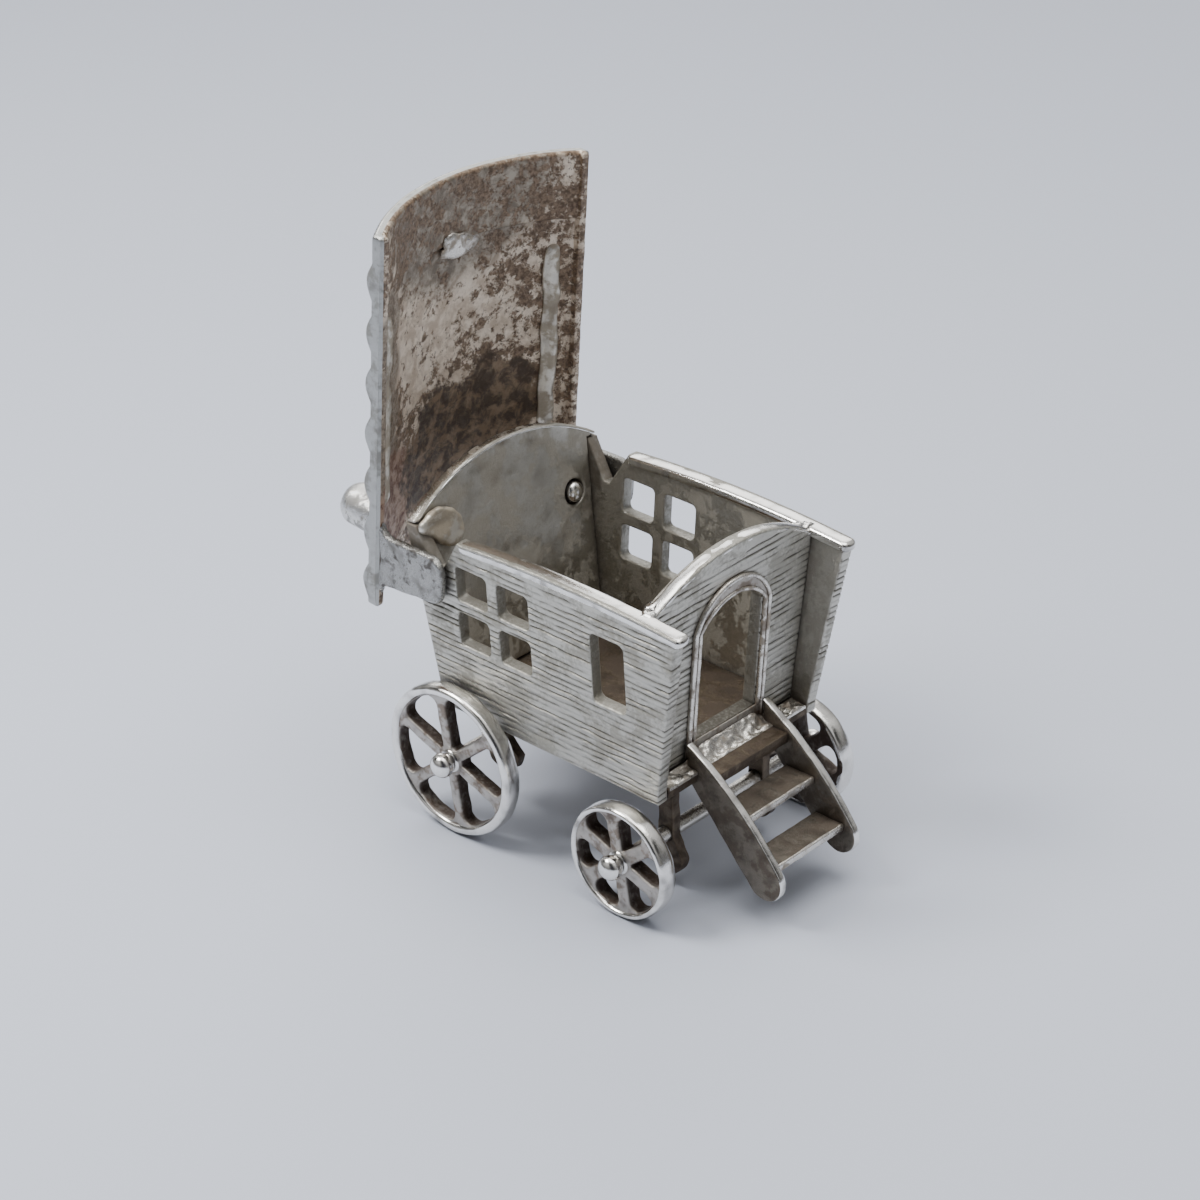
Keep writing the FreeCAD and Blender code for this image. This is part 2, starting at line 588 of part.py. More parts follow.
def make_axle(label, axle_x, axle_height):
    """Stepped axle with balled heads outside the hubs."""
    body = new_body(label)
    sketch = new_sketch(body, label.title().replace("_", ""), "YZ_Plane")
    bar_end = "(TrackHalf - SpokeThickness / 2 - AxleEndPlay)"
    head = "(TrackHalf + HubOuterLength + AxleEndPlay)"
    near = dome_corners(head, "AxleHeadRadius", "AxleHeadHeight")
    far = dome_corners(f"-{head}", "AxleHeadRadius", "AxleHeadHeight", "-1")
    trace(sketch, [(f"-({head} + AxleHeadHeight)", "0"), (f"{head} + AxleHeadHeight", "0")] + near[::-1] + [
        (head, "JournalRadius"),
        (bar_end, "JournalRadius"),
        (bar_end, "AxleRadius"),
        (f"-{bar_end}", "AxleRadius"),
        (f"-{bar_end}", "JournalRadius"),
        (f"-{head}", "JournalRadius"),
    ] + far)
    revolve(body, sketch)
    place(body, f"OriginToFrontAxle + {axle_x}", "0", axle_height)


def make_wheel(label, sign, axle_x, radius, rim_depth):
    """Cast wheel: band rim, hub barrel bored for its journal, spokes between rounded openings."""
    body = new_body(label)
    name = label.title().replace("_", "")
    inner_rim = f"({radius} - {rim_depth})"
    bore = "(JournalRadius + JournalClearance)"
    web, shoulder = "SpokeThickness / 2", f"({radius} - RimCornerCut)"
    crown = "(RimHalfWidth - RimCornerCut)"
    turned = new_sketch(body, name + "Profile", "YZ_Plane")
    inward, outward = f"{-sign} * ", f"{sign} * "
    trace(turned, [
        (inward + web, bore),
        (outward + "HubOuterLength", bore),
        (outward + "HubOuterLength", "HubRadius"),
        (outward + web, "HubRadius"),
        (outward + web, inner_rim),
        (outward + "RimHalfWidth", inner_rim),
        (outward + "RimHalfWidth", shoulder),
        (outward + crown, radius),
        (inward + crown, radius),
        (inward + "RimHalfWidth", shoulder),
        (inward + "RimHalfWidth", inner_rim),
        (inward + web, inner_rim),
    ])
    revolve(body, turned)
    petal = new_sketch(body, name + "Opening")
    step = "(180 deg / SpokeCount)"
    reach = f"({inner_rim} - PetalCornerRadius)"
    aim = f"({step} - asin((SpokeWidth / 2 + PetalCornerRadius) / {reach}))"
    root_x = f"(PetalRoot * tan({step}) - SpokeWidth / 2 / cos({step}))"
    half_turn = f"(({step} + {aim}) / 2)"
    side = (f"({reach} * sin({aim}) + PetalCornerRadius * cos({step}))",
            f"{reach} * cos({aim}) - PetalCornerRadius * sin({step})")
    bevel = (f"({reach} * sin({aim}) + PetalCornerRadius * cos(45 deg - {half_turn} + {aim}))",
             f"{reach} * cos({aim}) + PetalCornerRadius * sin(45 deg - {half_turn} + {aim})")
    rim_x, rim_z = f"({inner_rim} * sin({aim}))", f"{inner_rim} * cos({aim})"
    trace(petal, [
        (root_x, "PetalRoot"),
        side,
        bevel,
        (rim_x, rim_z, ("0", "0", 1)),
        (f"-{rim_x}", rim_z, None, "x"),
        (f"-{bevel[0]}", bevel[1]),
        (f"-{side[0]}", side[1]),
        (f"-{root_x}", "PetalRoot"),
    ])
    opening = pocket(body, petal, "2 * RimHalfWidth", both=True)
    openings = body.newObject("PartDesign::PolarPattern", name + "Openings")
    openings.Originals = [opening]
    openings.Axis = (petal, ["N_Axis"])
    openings.Angle = 360
    bind(openings, Occurrences="SpokeCount")
    body.Tip = openings
    place(body, f"OriginToFrontAxle + {axle_x}", f"{sign} * TrackHalf", radius, Y_AXIS, "180 / SpokeCount - SpokeSlant")


def place_on_lid(thing, y="0"):
    """Put a piece drawn about the pivot, lid closed, where it lies with the lid open."""
    place(thing, f"OriginToFrontAxle - {HINGE_BEHIND}", y, HINGE_HEIGHT, Vector(0, -1, 0), "HingeOpenAngle")


ROOF_TOP = "(EaveAbovePivot + RoofRise)"
EDGE_TOP = "(EaveAbovePivot + RoofSideHeight)"
CROWN_RADIUS = "((RoofHalfWidth^2 + (RoofRise - RoofSideHeight)^2) / (2 * (RoofRise - RoofSideHeight)))"


def arch_corners(inset, foot, lowered="0"):
    """Outline of the roof's arch from one eave to the other, inset from the outside and lowered."""
    centre = f"({ROOF_TOP} - {CROWN_RADIUS} - {lowered})"
    half = f"(RoofHalfWidth - {inset})"
    top = f"({centre} + sqrt(({CROWN_RADIUS} - {inset})^2 - {half}^2))"
    return [
        (half, foot),
        (half, top, ("0", centre, 1)),
        (f"-{half}", top, None, "x"),
        (f"-{half}", foot),
    ]


def make_roof_shell():
    """Arched lid: shell, thicker porch soffit and a scalloped cornice standing up along both eaves."""
    body = new_body("roof_shell")
    outer = new_sketch(body, "RoofOuter", "YZ_Plane", "-RoofRearReach")
    trace(outer, arch_corners("0", "EaveAbovePivot"))
    pad(body, outer, "RoofFrontReach + RoofRearReach")
    for side, sign in SIDES:
        lobes = new_sketch(body, f"RoofLobe{side}", "XZ_Plane", f"{-sign} * RoofHalfWidth")
        start, end = "-RoofRearReach", "(-RoofRearReach + LobePitch)"
        middle = "(-RoofRearReach + LobePitch / 2)"
        buried = f"({EDGE_TOP} - LobeBury)"
        sag = arch_centre("(LobePitch / 2)", "LobeHeight")
        trace(lobes, [
            (start, buried),
            (end, buried),
            (end, EDGE_TOP, (middle, f"({EDGE_TOP} - {sag})", 1)),
            (start, EDGE_TOP, None, "x"),
        ])
        lobe = pad(body, lobes, "LobeThickness", reverse=sign < 0)
        repeat(body, lobes, lobe, "H_Axis", "LobePitch * (LobeCount - 1)", "LobeCount")
    front = new_sketch(body, "RoofRim", "YZ_Plane", "RoofFrontReach")
    wide, high = "(RoofHalfWidth + CutOverrun)", f"({ROOF_TOP} + CutOverrun)"
    trace(front, [
        (f"-{wide}", "0"),
        (wide, "0"),
        (wide, high),
        (f"-{wide}", high),
    ])
    pocket(body, front, "LobePitch + CutOverrun", reverse=True)
    inner = new_sketch(body, "RoofInner", "YZ_Plane", "-RoofRearReach - CutOverrun")
    trace(inner, arch_corners("RoofThickness", "EaveAbovePivot - CutOverrun"))
    pocket(body, inner, "RoofFrontReach + RoofRearReach - SoffitLength + CutOverrun", reverse=True)
    porch = new_sketch(body, "RoofPorch", "YZ_Plane", "RoofFrontReach + CutOverrun")
    trace(porch, arch_corners("RoofThickness", "EaveAbovePivot - CutOverrun", "SoffitThickness"))
    pocket(body, porch, "SoffitLength + 2 * CutOverrun")
    place_on_lid(body)


def make_roof_ear(side, sign):
    """Ear below the eave with rounded corners, bored for the pivot pin."""
    body = new_body(f"roof_ear_{side}")
    sketch = new_sketch(body, f"EarOutline{side}")
    root = "(EaveAbovePivot - FitGap)"
    low = "-EarTipBelowPivot"
    flat = "(EarHalfWidth - EarCornerRadius)"
    bend = f"({low} + EarCornerRadius)"
    wide, hollow = "(EarRootHalfWidth + EarFlareRadius)", f"({root} - EarFlareRadius)"
    trace(sketch, [
        (f"-{flat}", low, None, "x"),
        (flat, low, (flat, bend, 1)),
        ("EarHalfWidth", bend, None, "y"),
        ("EarRootHalfWidth", hollow, (wide, hollow, -1)),
        (wide, root, None, "x"),
        (f"-{wide}", root, (f"-{wide}", hollow, -1)),
        ("-EarRootHalfWidth", hollow, None, "y"),
        ("-EarHalfWidth", bend, (f"-{flat}", bend, 1)),
    ])
    ring(sketch, "0", "0", "HingePinRadius + HingeClearance")
    pad(body, sketch, "EarThickness", reverse=sign > 0)
    place_on_lid(body, f"{sign} * (RoofHalfWidth - EarInset - EarThickness)")


def make_hinge_pin(side, sign):
    """Pivot pin, fast in the side wall and free in the ear."""
    pin = doc.addObject("Part::Cylinder", f"hinge_pin_{side}")
    pin.Label = f"hinge_pin_{side}"
    inside = f"({inner_half(HINGE_HEIGHT + ' + HingePinRadius')} + 2 * FitGap)"
    bind(pin, Radius="HingePinRadius", Height=f"RoofHalfWidth - EarInset - FitGap - {inside}")
    place(pin, f"OriginToFrontAxle - {HINGE_BEHIND}", f"{sign} * {inside}", HINGE_HEIGHT,
          Vector(-sign, 0, 0), "90")


def lid_tool(length):
    """Solid of the roof's crown curve, to seat a piece on its outside."""
    tool = doc.addObject("Part::Cylinder", "CrownTool")
    bind(tool, Radius=f"{CROWN_RADIUS} + FitGap", Height=length)
    place(tool, "-RoofRearReach", "0", f"{ROOF_TOP} - {CROWN_RADIUS}", Y_AXIS, "90")
    return tool


def make_chimney():
    """Domed chimney stub on the near side of the roof."""
    body = new_body("ChimneyBar")
    sketch = new_sketch(body, "ChimneyProfile")
    shoulder = f"({ROOF_TOP} + ChimneyHeight - ChimneyDomeHeight)"
    dome = [(across, up) for up, across in dome_corners(shoulder, "ChimneyRadius", "ChimneyDomeHeight")]
    trace(sketch, [("0", "EaveAbovePivot"), ("ChimneyRadius", "EaveAbovePivot")] + dome + [
        ("0", f"{shoulder} + ChimneyDomeHeight"),
    ])
    revolve(body, sketch, "V_Axis")
    place(body, "ChimneyAhead", "-ChimneyAcross")
    tool = lid_tool("2 * RoofFrontReach")
    seated = doc.addObject("Part::Cut", "chimney")
    seated.Base = body
    seated.Tool = tool
    seated.Label = "chimney"
    place_on_lid(seated)


def make_hanging_eye():
    """Small fixed eye on the roof's crown, for the ring that the charm hangs from."""
    body = new_body("EyePlate")
    sketch = new_sketch(body, "EyeOutline")
    centre = f"({ROOF_TOP} + EyeStandOff)"
    trace(sketch, [
        ("EyeAhead - EyeRadius", f"{centre} - EyeStandOff - RoofThickness"),
        ("EyeAhead + EyeRadius", f"{centre} - EyeStandOff - RoofThickness"),
        ("EyeAhead + EyeRadius", centre, ("EyeAhead", centre, 1)),
        ("EyeAhead - EyeRadius", centre, None, "y"),
    ])
    ring(sketch, "EyeAhead", centre, "EyeBoreRadius")
    pad(body, sketch, "EyeThickness", both=True)
    tool = lid_tool("2 * RoofFrontReach")
    seated = doc.addObject("Part::Cut", "hanging_eye")
    seated.Base = body
    seated.Tool = tool
    seated.Label = "hanging_eye"
    place_on_lid(seated)


make_floor()
make_front_wall()
make_rear_wall()
make_rear_stud()
make_corner_tab()
make_tread("tread_upper", "UpperTreadReach", "UpperTreadHeight")
make_tread("tread_lower", "LowerTreadReach", "LowerTreadHeight")
make_roof_shell()
make_chimney()
make_hanging_eye()
AXLES = (("front", "0", "FrontWheelRadius", "FrontRimDepth", "FrontHangerDrop", "0"),
         ("rear", "-Wheelbase", "RearWheelRadius", "RearRimDepth", "RearHangerDrop", "RearHangerLead"))
for end, axle_x, wheel_radius, rim_depth, drop, lead in AXLES:
    make_axle(f"axle_{end}", axle_x, wheel_radius)
    for side, sign in SIDES:
        make_hanger(f"hanger_{end}_{side}", sign, axle_x, wheel_radius, drop, lead)
        make_wheel(f"wheel_{end}_{side}", sign, axle_x, wheel_radius, rim_depth)
for side, sign in SIDES:
    make_side_wall(side, sign)
    make_stringer(side, sign)
    make_roof_ear(side, sign)
    make_hinge_pin(side, sign)
doc.recompute()

NODES = ["floor", "front_wall", "rear_wall", "rear_stud", "corner_tab", "tread_upper", "tread_lower",
         "roof_shell", "chimney", "hanging_eye", "axle_front", "axle_rear"]
for side, _ in SIDES:
    NODES += [f"side_wall_{side}", f"stringer_{side}", f"roof_ear_{side}", f"hinge_pin_{side}",
              f"hanger_front_{side}", f"hanger_rear_{side}", f"wheel_front_{side}", f"wheel_rear_{side}"]

for thing in doc.Objects:
    if {"Invalid", "Error"} & set(thing.State):
        raise RuntimeError(f"{thing.Label} did not compute: {thing.State}")
for name in NODES:
    thing = doc.getObjectsByLabel(name)[0]
    shape = thing.Shape
    if shape.isNull() or not shape.isValid() or len(shape.Solids) != 1:
        raise RuntimeError(f"{name} is not one valid solid")
    shape.exportStep(f"parts/{name}.step")
    print(f"{name}: {shape.Volume:.3f} mm3")
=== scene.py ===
"""Looks of the opening vardo wagon charm: worn, tarnished silver on a pale surface."""
import bmesh
import bpy
from math import asin, atan, atan2, cos, degrees, pi, radians, sin, sqrt, tan
from mathutils import Matrix, Vector, noise


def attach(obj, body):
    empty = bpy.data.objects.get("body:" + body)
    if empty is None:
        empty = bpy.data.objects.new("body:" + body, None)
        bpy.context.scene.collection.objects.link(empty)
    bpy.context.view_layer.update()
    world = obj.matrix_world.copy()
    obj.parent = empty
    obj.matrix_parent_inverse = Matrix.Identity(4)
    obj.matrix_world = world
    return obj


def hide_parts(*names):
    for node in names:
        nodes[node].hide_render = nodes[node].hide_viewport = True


MM = 0.001
RIGHT_LEFT = (("right", -1), ("left", 1))
X, Y, Z = (1, 0, 0), (0, 1, 0), (0, 0, 1)

# The part's own sizes, mm: heights are above the ground, and reaches are ahead of the front axle
AXLE_X, WHEELBASE, TRACK = 6.74, 10.9, 6.6
FLOOR_LOW, FLOOR_TOP, FLOOR_HALF, RAIL = 6.15, 6.7, 5.042, 15.8
RISE = RAIL - FLOOR_TOP
BOTTOM_HALF, SIDE_SPREAD, WALL, CAMBER = 5.8, 0.6, 0.7, 0.3
BODY_FOOT, BODY_TOP, REAR_FOOT, REAR_TOP = 1.45, 3.0, -12.4, -13.9
FRONT_FOOT, FRONT_SPREAD, FRONT_WALL, REAR_WALL = 0.45, 0.6, 0.75, 0.65
SIDE_LEAN, FRONT_LEAN = atan(SIDE_SPREAD / RISE), atan(FRONT_SPREAD / RISE)
REAR_LEAN = atan((REAR_FOOT - REAR_TOP) / RISE)
NOTCH, NOTCH_WIDE, NOTCH_FOOT, NOTCH_DEEP = REAR_TOP + 0.65, 2.65, 0.35, 1.9
PANE_X, PANE_WIDE, PANE_HIGH, PANE_BAR, PANES_BELOW_RAIL = -8.5, 2.0, 1.85, 0.65, 3.45
LANCET_X, LANCET_WIDE, LANCET_HIGH, LANCET_BELOW_RAIL = -1.3, 2.05, 3.75, 3.5
DOOR_HALF, DOOR_SILL, DOOR_RISE, DOOR_BELOW_RAIL = 2.2, 0.95, 1.15, 2.15
STUD_ACROSS, STUD_BELOW_RAIL, STUD_RADIUS, STUD_GAP, STUD_HEAD = 4.3, 2.33, 0.52, 0.14, 0.85
PORCH_START, PORCH_REACH, STEP_HALF = 0.8, 2.4, 2.5
STRINGER_LOW, STRINGER_HIGH, STRINGER_FOOT, STRINGER_RADIUS = 6.13, 7.9, (5.55, 2.35), 1.03
TREADS, TREAD_DEEP, TREAD_THICK = (("upper", 4.05, 4.93), ("lower", 5.9, 3.07)), 1.75, 0.42
HANGER_ACROSS, HANGER_THICK, HANGER_RADIUS, HANGER_WAIST, HANGER_STEM = 3.3, 0.55, 1.05, 1.0, 0.75
AXLE_RADIUS, JOURNAL_RADIUS, HUB_IN, HUB_OUT, END_PLAY = 0.37, 0.24, 0.28, 0.48, 0.05
SPOKES, SPOKE_SLANT, SPOKE_FRONT = 6, 10, 0.36

# Each axle: name, reach, height or wheel radius, rim depth, spoke width, spokes' back, hanger's drop and lead
AXLES = (("front", 0, 2.95, 0.38, 0.70, -0.5, 1.2, 0),
         ("rear", -WHEELBASE, 4.0, 0.58, 0.58, -0.38, 0.87, 0.3))

# The lid's sizes, mm: ahead of and above its pivot when it is shut
PIVOT_X, PIVOT_Z, OPEN = AXLE_X - 12.95, 13.35, radians(86)
EAVE, ROOF_HALF, ROOF_RISE, ROOF_SIDE, ROOF_THICK = 2.32, 7.0, 3.0, 0.62, 0.5
ROOF_FRONT, ROOF_REAR, SOFFIT_LONG, SOFFIT_DEEP = 17.0, -2.75, 3.5, 0.15
CROWN = (ROOF_HALF ** 2 + (ROOF_RISE - ROOF_SIDE) ** 2) / (2 * (ROOF_RISE - ROOF_SIDE))
CROWN_CENTRE = EAVE + ROOF_RISE - CROWN
EAR_TIP, EAR_THICK, EAR_INSET = -1.74, 0.45, 0.1
CHIMNEY_AHEAD, CHIMNEY_ACROSS, CHIMNEY_RADIUS = 0.6, -4.6, 1.12
EYE_AHEAD, EYE_RADIUS, EYE_BORE, EYE_STAND_OFF, EYE_THICK = 12.9, 1.15, 0.6, 0.95, 0.6

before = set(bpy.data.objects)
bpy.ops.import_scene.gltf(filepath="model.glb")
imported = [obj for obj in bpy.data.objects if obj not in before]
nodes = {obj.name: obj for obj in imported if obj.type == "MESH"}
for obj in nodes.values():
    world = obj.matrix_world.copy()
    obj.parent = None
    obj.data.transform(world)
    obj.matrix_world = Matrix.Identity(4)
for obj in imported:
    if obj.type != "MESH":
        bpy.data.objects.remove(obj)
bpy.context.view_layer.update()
scene = bpy.context.scene


# Nodes

class Nodes:
    """Short hand for building the nodes of a material or a world."""

    def __init__(self, owner):
        owner.use_nodes = True
        self.owner, self.tree = owner, owner.node_tree

    def link(self, source, target):
        """Give an input a link, a number, a vector or a colour."""
        if isinstance(source, bpy.types.NodeSocket):
            self.tree.links.new(source, target)
        elif isinstance(source, tuple):
            target.default_value = source + (1,) * (len(target.default_value) - len(source))
        else:
            target.default_value = source

    def node(self, kind, inputs=(), **settings):
        node = self.tree.nodes.new("ShaderNode" + kind)
        for name, value in settings.items():
            setattr(node, name, value)
        for name, value in dict(inputs).items():
            self.link(value, node.inputs[name])
        return node

    def math(self, kind, a, b, clamp=False):
        return self.node("Math", {0: a, 1: b}, operation=kind, use_clamp=clamp).outputs[0]

    def total(self, *parts):
        """Sum of outputs, each with its weight."""
        total = 0.0
        for part, weight in parts:
            total = self.node("Math", {0: part, 1: weight, 2: total}, operation="MULTIPLY_ADD").outputs[0]
        return total

    def span(self, value, low, high, to_low=0.0, to_high=1.0, way="SMOOTHSTEP"):
        inputs = {"Value": value, "From Min": low, "From Max": high, "To Min": to_low, "To Max": to_high}
        return self.node("MapRange", inputs, interpolation_type=way).outputs["Result"]

    def mix(self, factor, a, b, blend="MIX"):
        inputs = {"Factor": factor, "A": a, "B": b}
        return self.node("Mix", inputs, data_type="RGBA", blend_type=blend).outputs["Result"]


class Metal(Nodes):
    """Nodes of a new material, with places in mm on the part."""

    def __init__(self, name):
        super().__init__(bpy.data.materials.new(name))
        where = self.node("TexCoord").outputs["Object"]
        self.place = self.node("Mapping", {"Vector": where, "Scale": (1 / MM,) * 3}).outputs["Vector"]

    def noise(self, scale, detail, rough, warp=0.0):
        inputs = {"Scale": scale, "Detail": detail, "Roughness": rough, "Distortion": warp,
                  "Vector": self.place}
        return self.node("TexNoise", inputs).outputs["Fac"]

    def hollow(self, distance):
        """Where the surface lies in a recess or close to another part, from its occlusion: used as painted
        shade.
        """
        node = self.node("AmbientOcclusion", {"Distance": distance * MM}, samples=8)
        return self.span(node.outputs["AO"], 0.25, 0.85, 1.0, 0.0)

    def dirt(self):
        return self.node("Attribute", attribute_name="dirt").outputs["Fac"]

    def near_lid(self, *balls):
        """One within soft balls, each given as a place on the lid and a radius."""
        found = 0.0
        for ahead, across, up, radius in balls:
            centre = tuple(lid_place(ahead, across, up))
            distance = self.node("VectorMath", {0: self.place, 1: centre}, operation="DISTANCE")
            inside = self.span(distance.outputs["Value"], radius * 0.35, radius, 1.0, 0.0)
            found = self.math("MAXIMUM", found, inside)
        return found

    def bump(self, height, depth, strength, below=None):
        inputs = {"Strength": strength, "Distance": depth * MM, "Height": height}
        if below is not None:
            inputs["Normal"] = below
        return self.node("Bump", inputs).outputs["Normal"]

    def end(self, colour, rough, metal, normal):
        shader = self.tree.nodes["Principled BSDF"].inputs
        self.link(colour, shader["Base Color"])
        self.link(rough, shader["Roughness"])
        self.link(metal, shader["Metallic"])
        self.link(normal, shader["Normal"])
        return self.owner


# Surroundings

def make_camera():
    """Camera at the photograph's place: long lens, looking down on the front right."""
    right = Vector((0.7417, 0.6707, -0.0061))
    up = Vector((-0.3269, 0.3694, 0.8699))
    back = Vector((0.5857, -0.6432, 0.4932))
    target, distance, aside, above = Vector((2.24, 0.0, 10.0)), 166.586, -2.105, 2.093
    sensor, focal_pixels, photo_pixels = 36.0, 3495.88, 1200
    place = target + distance * back + aside * right + above * up
    data = bpy.data.cameras.new("photo_camera")
    data.sensor_width = sensor
    data.lens = sensor * focal_pixels / photo_pixels
    data.clip_start = 10 * MM
    data.clip_end = 5.0
    camera = bpy.data.objects.new("photo_camera", data)
    turn = Matrix((right, up, back)).transposed().to_4x4()
    camera.matrix_world = Matrix.Translation(place * MM) @ turn
    scene.collection.objects.link(camera)
    scene.camera = camera


def make_floor():
    """Pale bluish paper that the charm stands on."""
    mesh = bpy.data.meshes.new("floor_stage")
    half = 0.4
    corners = [(-half, -half, 0), (half, -half, 0), (half, half, 0), (-half, half, 0)]
    mesh.from_pydata(corners, [], [(0, 1, 2, 3)])
    floor = bpy.data.objects.new("floor_stage", mesh)
    scene.collection.objects.link(floor)
    n = Nodes(bpy.data.materials.new("floor_paper"))
    shader = n.tree.nodes["Principled BSDF"].inputs
    n.link((0.575, 0.61, 0.70), shader["Base Color"])
    n.link(0.85, shader["Roughness"])
    mesh.materials.append(n.owner)


def make_light(name, place, size, watts):
    """Round lamp that shines on the charm."""
    data = bpy.data.lights.new(name, "AREA")
    data.shape = "DISK"
    data.size = size * MM
    data.energy = watts
    light = bpy.data.objects.new(name, data)
    place = Vector(place) * MM
    aim = Vector((0, 0, 8)) * MM - place
    light.rotation_euler = aim.to_track_quat("-Z", "Y").to_euler()
    light.location = place
    scene.collection.objects.link(light)


def make_world():
    """Soft studio surround, bright above and dim below, with spots for the metal to mirror."""
    scene.world = bpy.data.worlds.new("studio")
    n = Nodes(scene.world)
    way = n.node("TexCoord").outputs["Generated"]
    ramp = n.node("ValToRGB", {"Fac": n.node("SeparateXYZ", {0: way}).outputs["Z"]})
    stops = ((0.0, (0.06, 0.058, 0.055, 1)), (0.75, (1, 1, 1, 1)))
    for stop, (position, colour) in zip(ramp.color_ramp.elements, stops):
        stop.position = position
        stop.color = colour
    sky = ramp.outputs["Color"]
    # Direction, cosines of the outer and inner edge, and colour of the dark room behind the camera, a
    # bright window behind on the left, and three dark things about
    spots = (((0.62, -0.66, 0.42), 0.80, 0.97, (0.05, 0.05, 0.06)),
             ((-0.60, 0.62, 0.50), 0.90, 0.96, (3.6,) * 3),
             ((-0.75, -0.35, 0.56), 0.93, 0.97, (0.05,) * 3),
             ((0.25, -0.60, 0.76), 0.94, 0.975, (0.05,) * 3),
             ((0.80, 0.35, 0.48), 0.93, 0.97, (0.06,) * 3))
    for toward, edge, core, colour in spots:
        cosine = n.node("VectorMath", {0: way, 1: toward}, operation="DOT_PRODUCT").outputs["Value"]
        sky = n.mix(n.span(cosine, edge, core, way="LINEAR"), sky, colour)
    ground = n.tree.nodes["Background"]
    n.link(sky, ground.inputs["Color"])
    n.link(0.82, ground.inputs["Strength"])


# Materials

# Each silver: its bright, stained and dark colour, the stained share, how fine its patches and specks
# are, its roughness where bright and where stained, how dark its recesses turn with tarnish and painted
# shade, the depth of its pits in mm, and how far in mm the dark of a recess reaches
SILVERS = {
    "polished": ((0.93, 0.91, 0.87), (0.74, 0.71, 0.66), (0.06, 0.045, 0.035), 0.12,
        0.5, 3.0, (0.07, 0.30), 0.95, 0.01, 0.5),
    "plank": ((0.625, 0.605, 0.54), (0.455, 0.435, 0.375), (0.05, 0.042, 0.03), 0.40,
        0.5, 5.5, (0.24, 0.5), 0.95, 0.035, 0.5),
    "eave": ((0.44, 0.44, 0.42), (0.29, 0.285, 0.26), (0.12, 0.10, 0.08), 0.35,
        0.5, 3.0, (0.28, 0.45), 0.7, 0.03, 0.5),
    "inner": ((0.60, 0.58, 0.52), (0.44, 0.41, 0.35), (0.15, 0.12, 0.09), 0.5,
        0.6, 2.5, (0.30, 0.56), 0.8, 0.04, 1.8),
    "cap": ((0.72, 0.71, 0.68), (0.34, 0.33, 0.31), (0.12, 0.10, 0.08), 0.34,
        1.4, 3.0, (0.16, 0.42), 0.7, 0.04, 0.5),
    "rib": ((0.76, 0.72, 0.63), (0.46, 0.40, 0.31), (0.12, 0.085, 0.06), 0.5,
        1.2, 2.0, (0.30, 0.5), 0.7, 0.04, 0.5),
    "cast": ((0.80, 0.77, 0.71), (0.40, 0.345, 0.28), (0.13, 0.09, 0.06), 0.35,
        0.8, 3.0, (0.2, 0.5), 1.0, 0.03, 0.9),
    "ear": ((0.40, 0.395, 0.375), (0.11, 0.10, 0.09), (0.08, 0.065, 0.05), 0.30,
        1.7, 2.6, (0.20, 0.5), 0.8, 0.06, 0.5),
    "spoke": ((0.52, 0.49, 0.45), (0.28, 0.23, 0.19), (0.065, 0.042, 0.03), 0.38,
        1.0, 3.2, (0.26, 0.55), 1.0, 0.05, 0.9),
    "board": ((0.25, 0.22, 0.18), (0.14, 0.112, 0.085), (0.05, 0.036, 0.026), 0.45,
        0.9, 2.8, (0.28, 0.52), 0.9, 0.05, 0.9),
    "under": ((0.17, 0.135, 0.10), (0.085, 0.062, 0.043), (0.035, 0.025, 0.018), 0.5,
        0.6, 2.5, (0.30, 0.56), 1.0, 0.05, 1.2),
    "roof": ((0.70, 0.69, 0.66), (0.50, 0.48, 0.44), (0.16, 0.11, 0.08), 0.3,
        0.4, 2.5, (0.20, 0.40), 0.8, 0.02, 0.6),
}


def silver(name, bright, stain, dark, cover, patch, speck, rough, tarnish_and_shade, pits, reach):
    """Worn silver: stains in patches and specks, and recesses darkened by tarnish and by painted shade."""
    n = Metal(name)
    large = n.noise(patch, 4, 0.6, warp=0.4)
    small = n.noise(speck, 8, 0.72)
    fine = n.noise(speck * 4, 6, 0.7)
    stained = n.span(n.total((large, 0.6), (small, 0.4)), 0.62 - 0.35 * cover, 0.72 - 0.35 * cover)
    # Tarnish and painted shade: occlusion darkens recesses and places close to other parts, and so does the
    # mesh's own darkening per point.
    recess = n.math("MAXIMUM", n.math("MULTIPLY", n.hollow(reach), tarnish_and_shade), n.dirt())
    recess = n.math("MULTIPLY", recess, n.span(small, 0.25, 0.55, 0.6, 1.0), clamp=True)
    colour = n.mix(recess, n.mix(stained, bright, stain), dark)
    colour = n.mix(1.0, colour, n.span(fine, 0.3, 0.7, 0.86, 1.0), "MULTIPLY")
    covered = n.math("MAXIMUM", stained, recess)
    roughness = n.total((n.span(covered, 0, 1, *rough), 1), (fine, 0.12))
    normal = n.bump(small, pits, 0.8, n.bump(fine, pits * 0.4, 0.7))
    return n.end(colour, roughness, n.span(covered, 0.2, 1.0, 1.0, 0.45), normal)


def lid_place(ahead, across, up):
    """Point of the open lid, from the closed lid's coordinates about the pivot."""
    return Vector((PIVOT_X + ahead * cos(OPEN) - up * sin(OPEN), across,
                   PIVOT_Z + ahead * sin(OPEN) + up * cos(OPEN)))


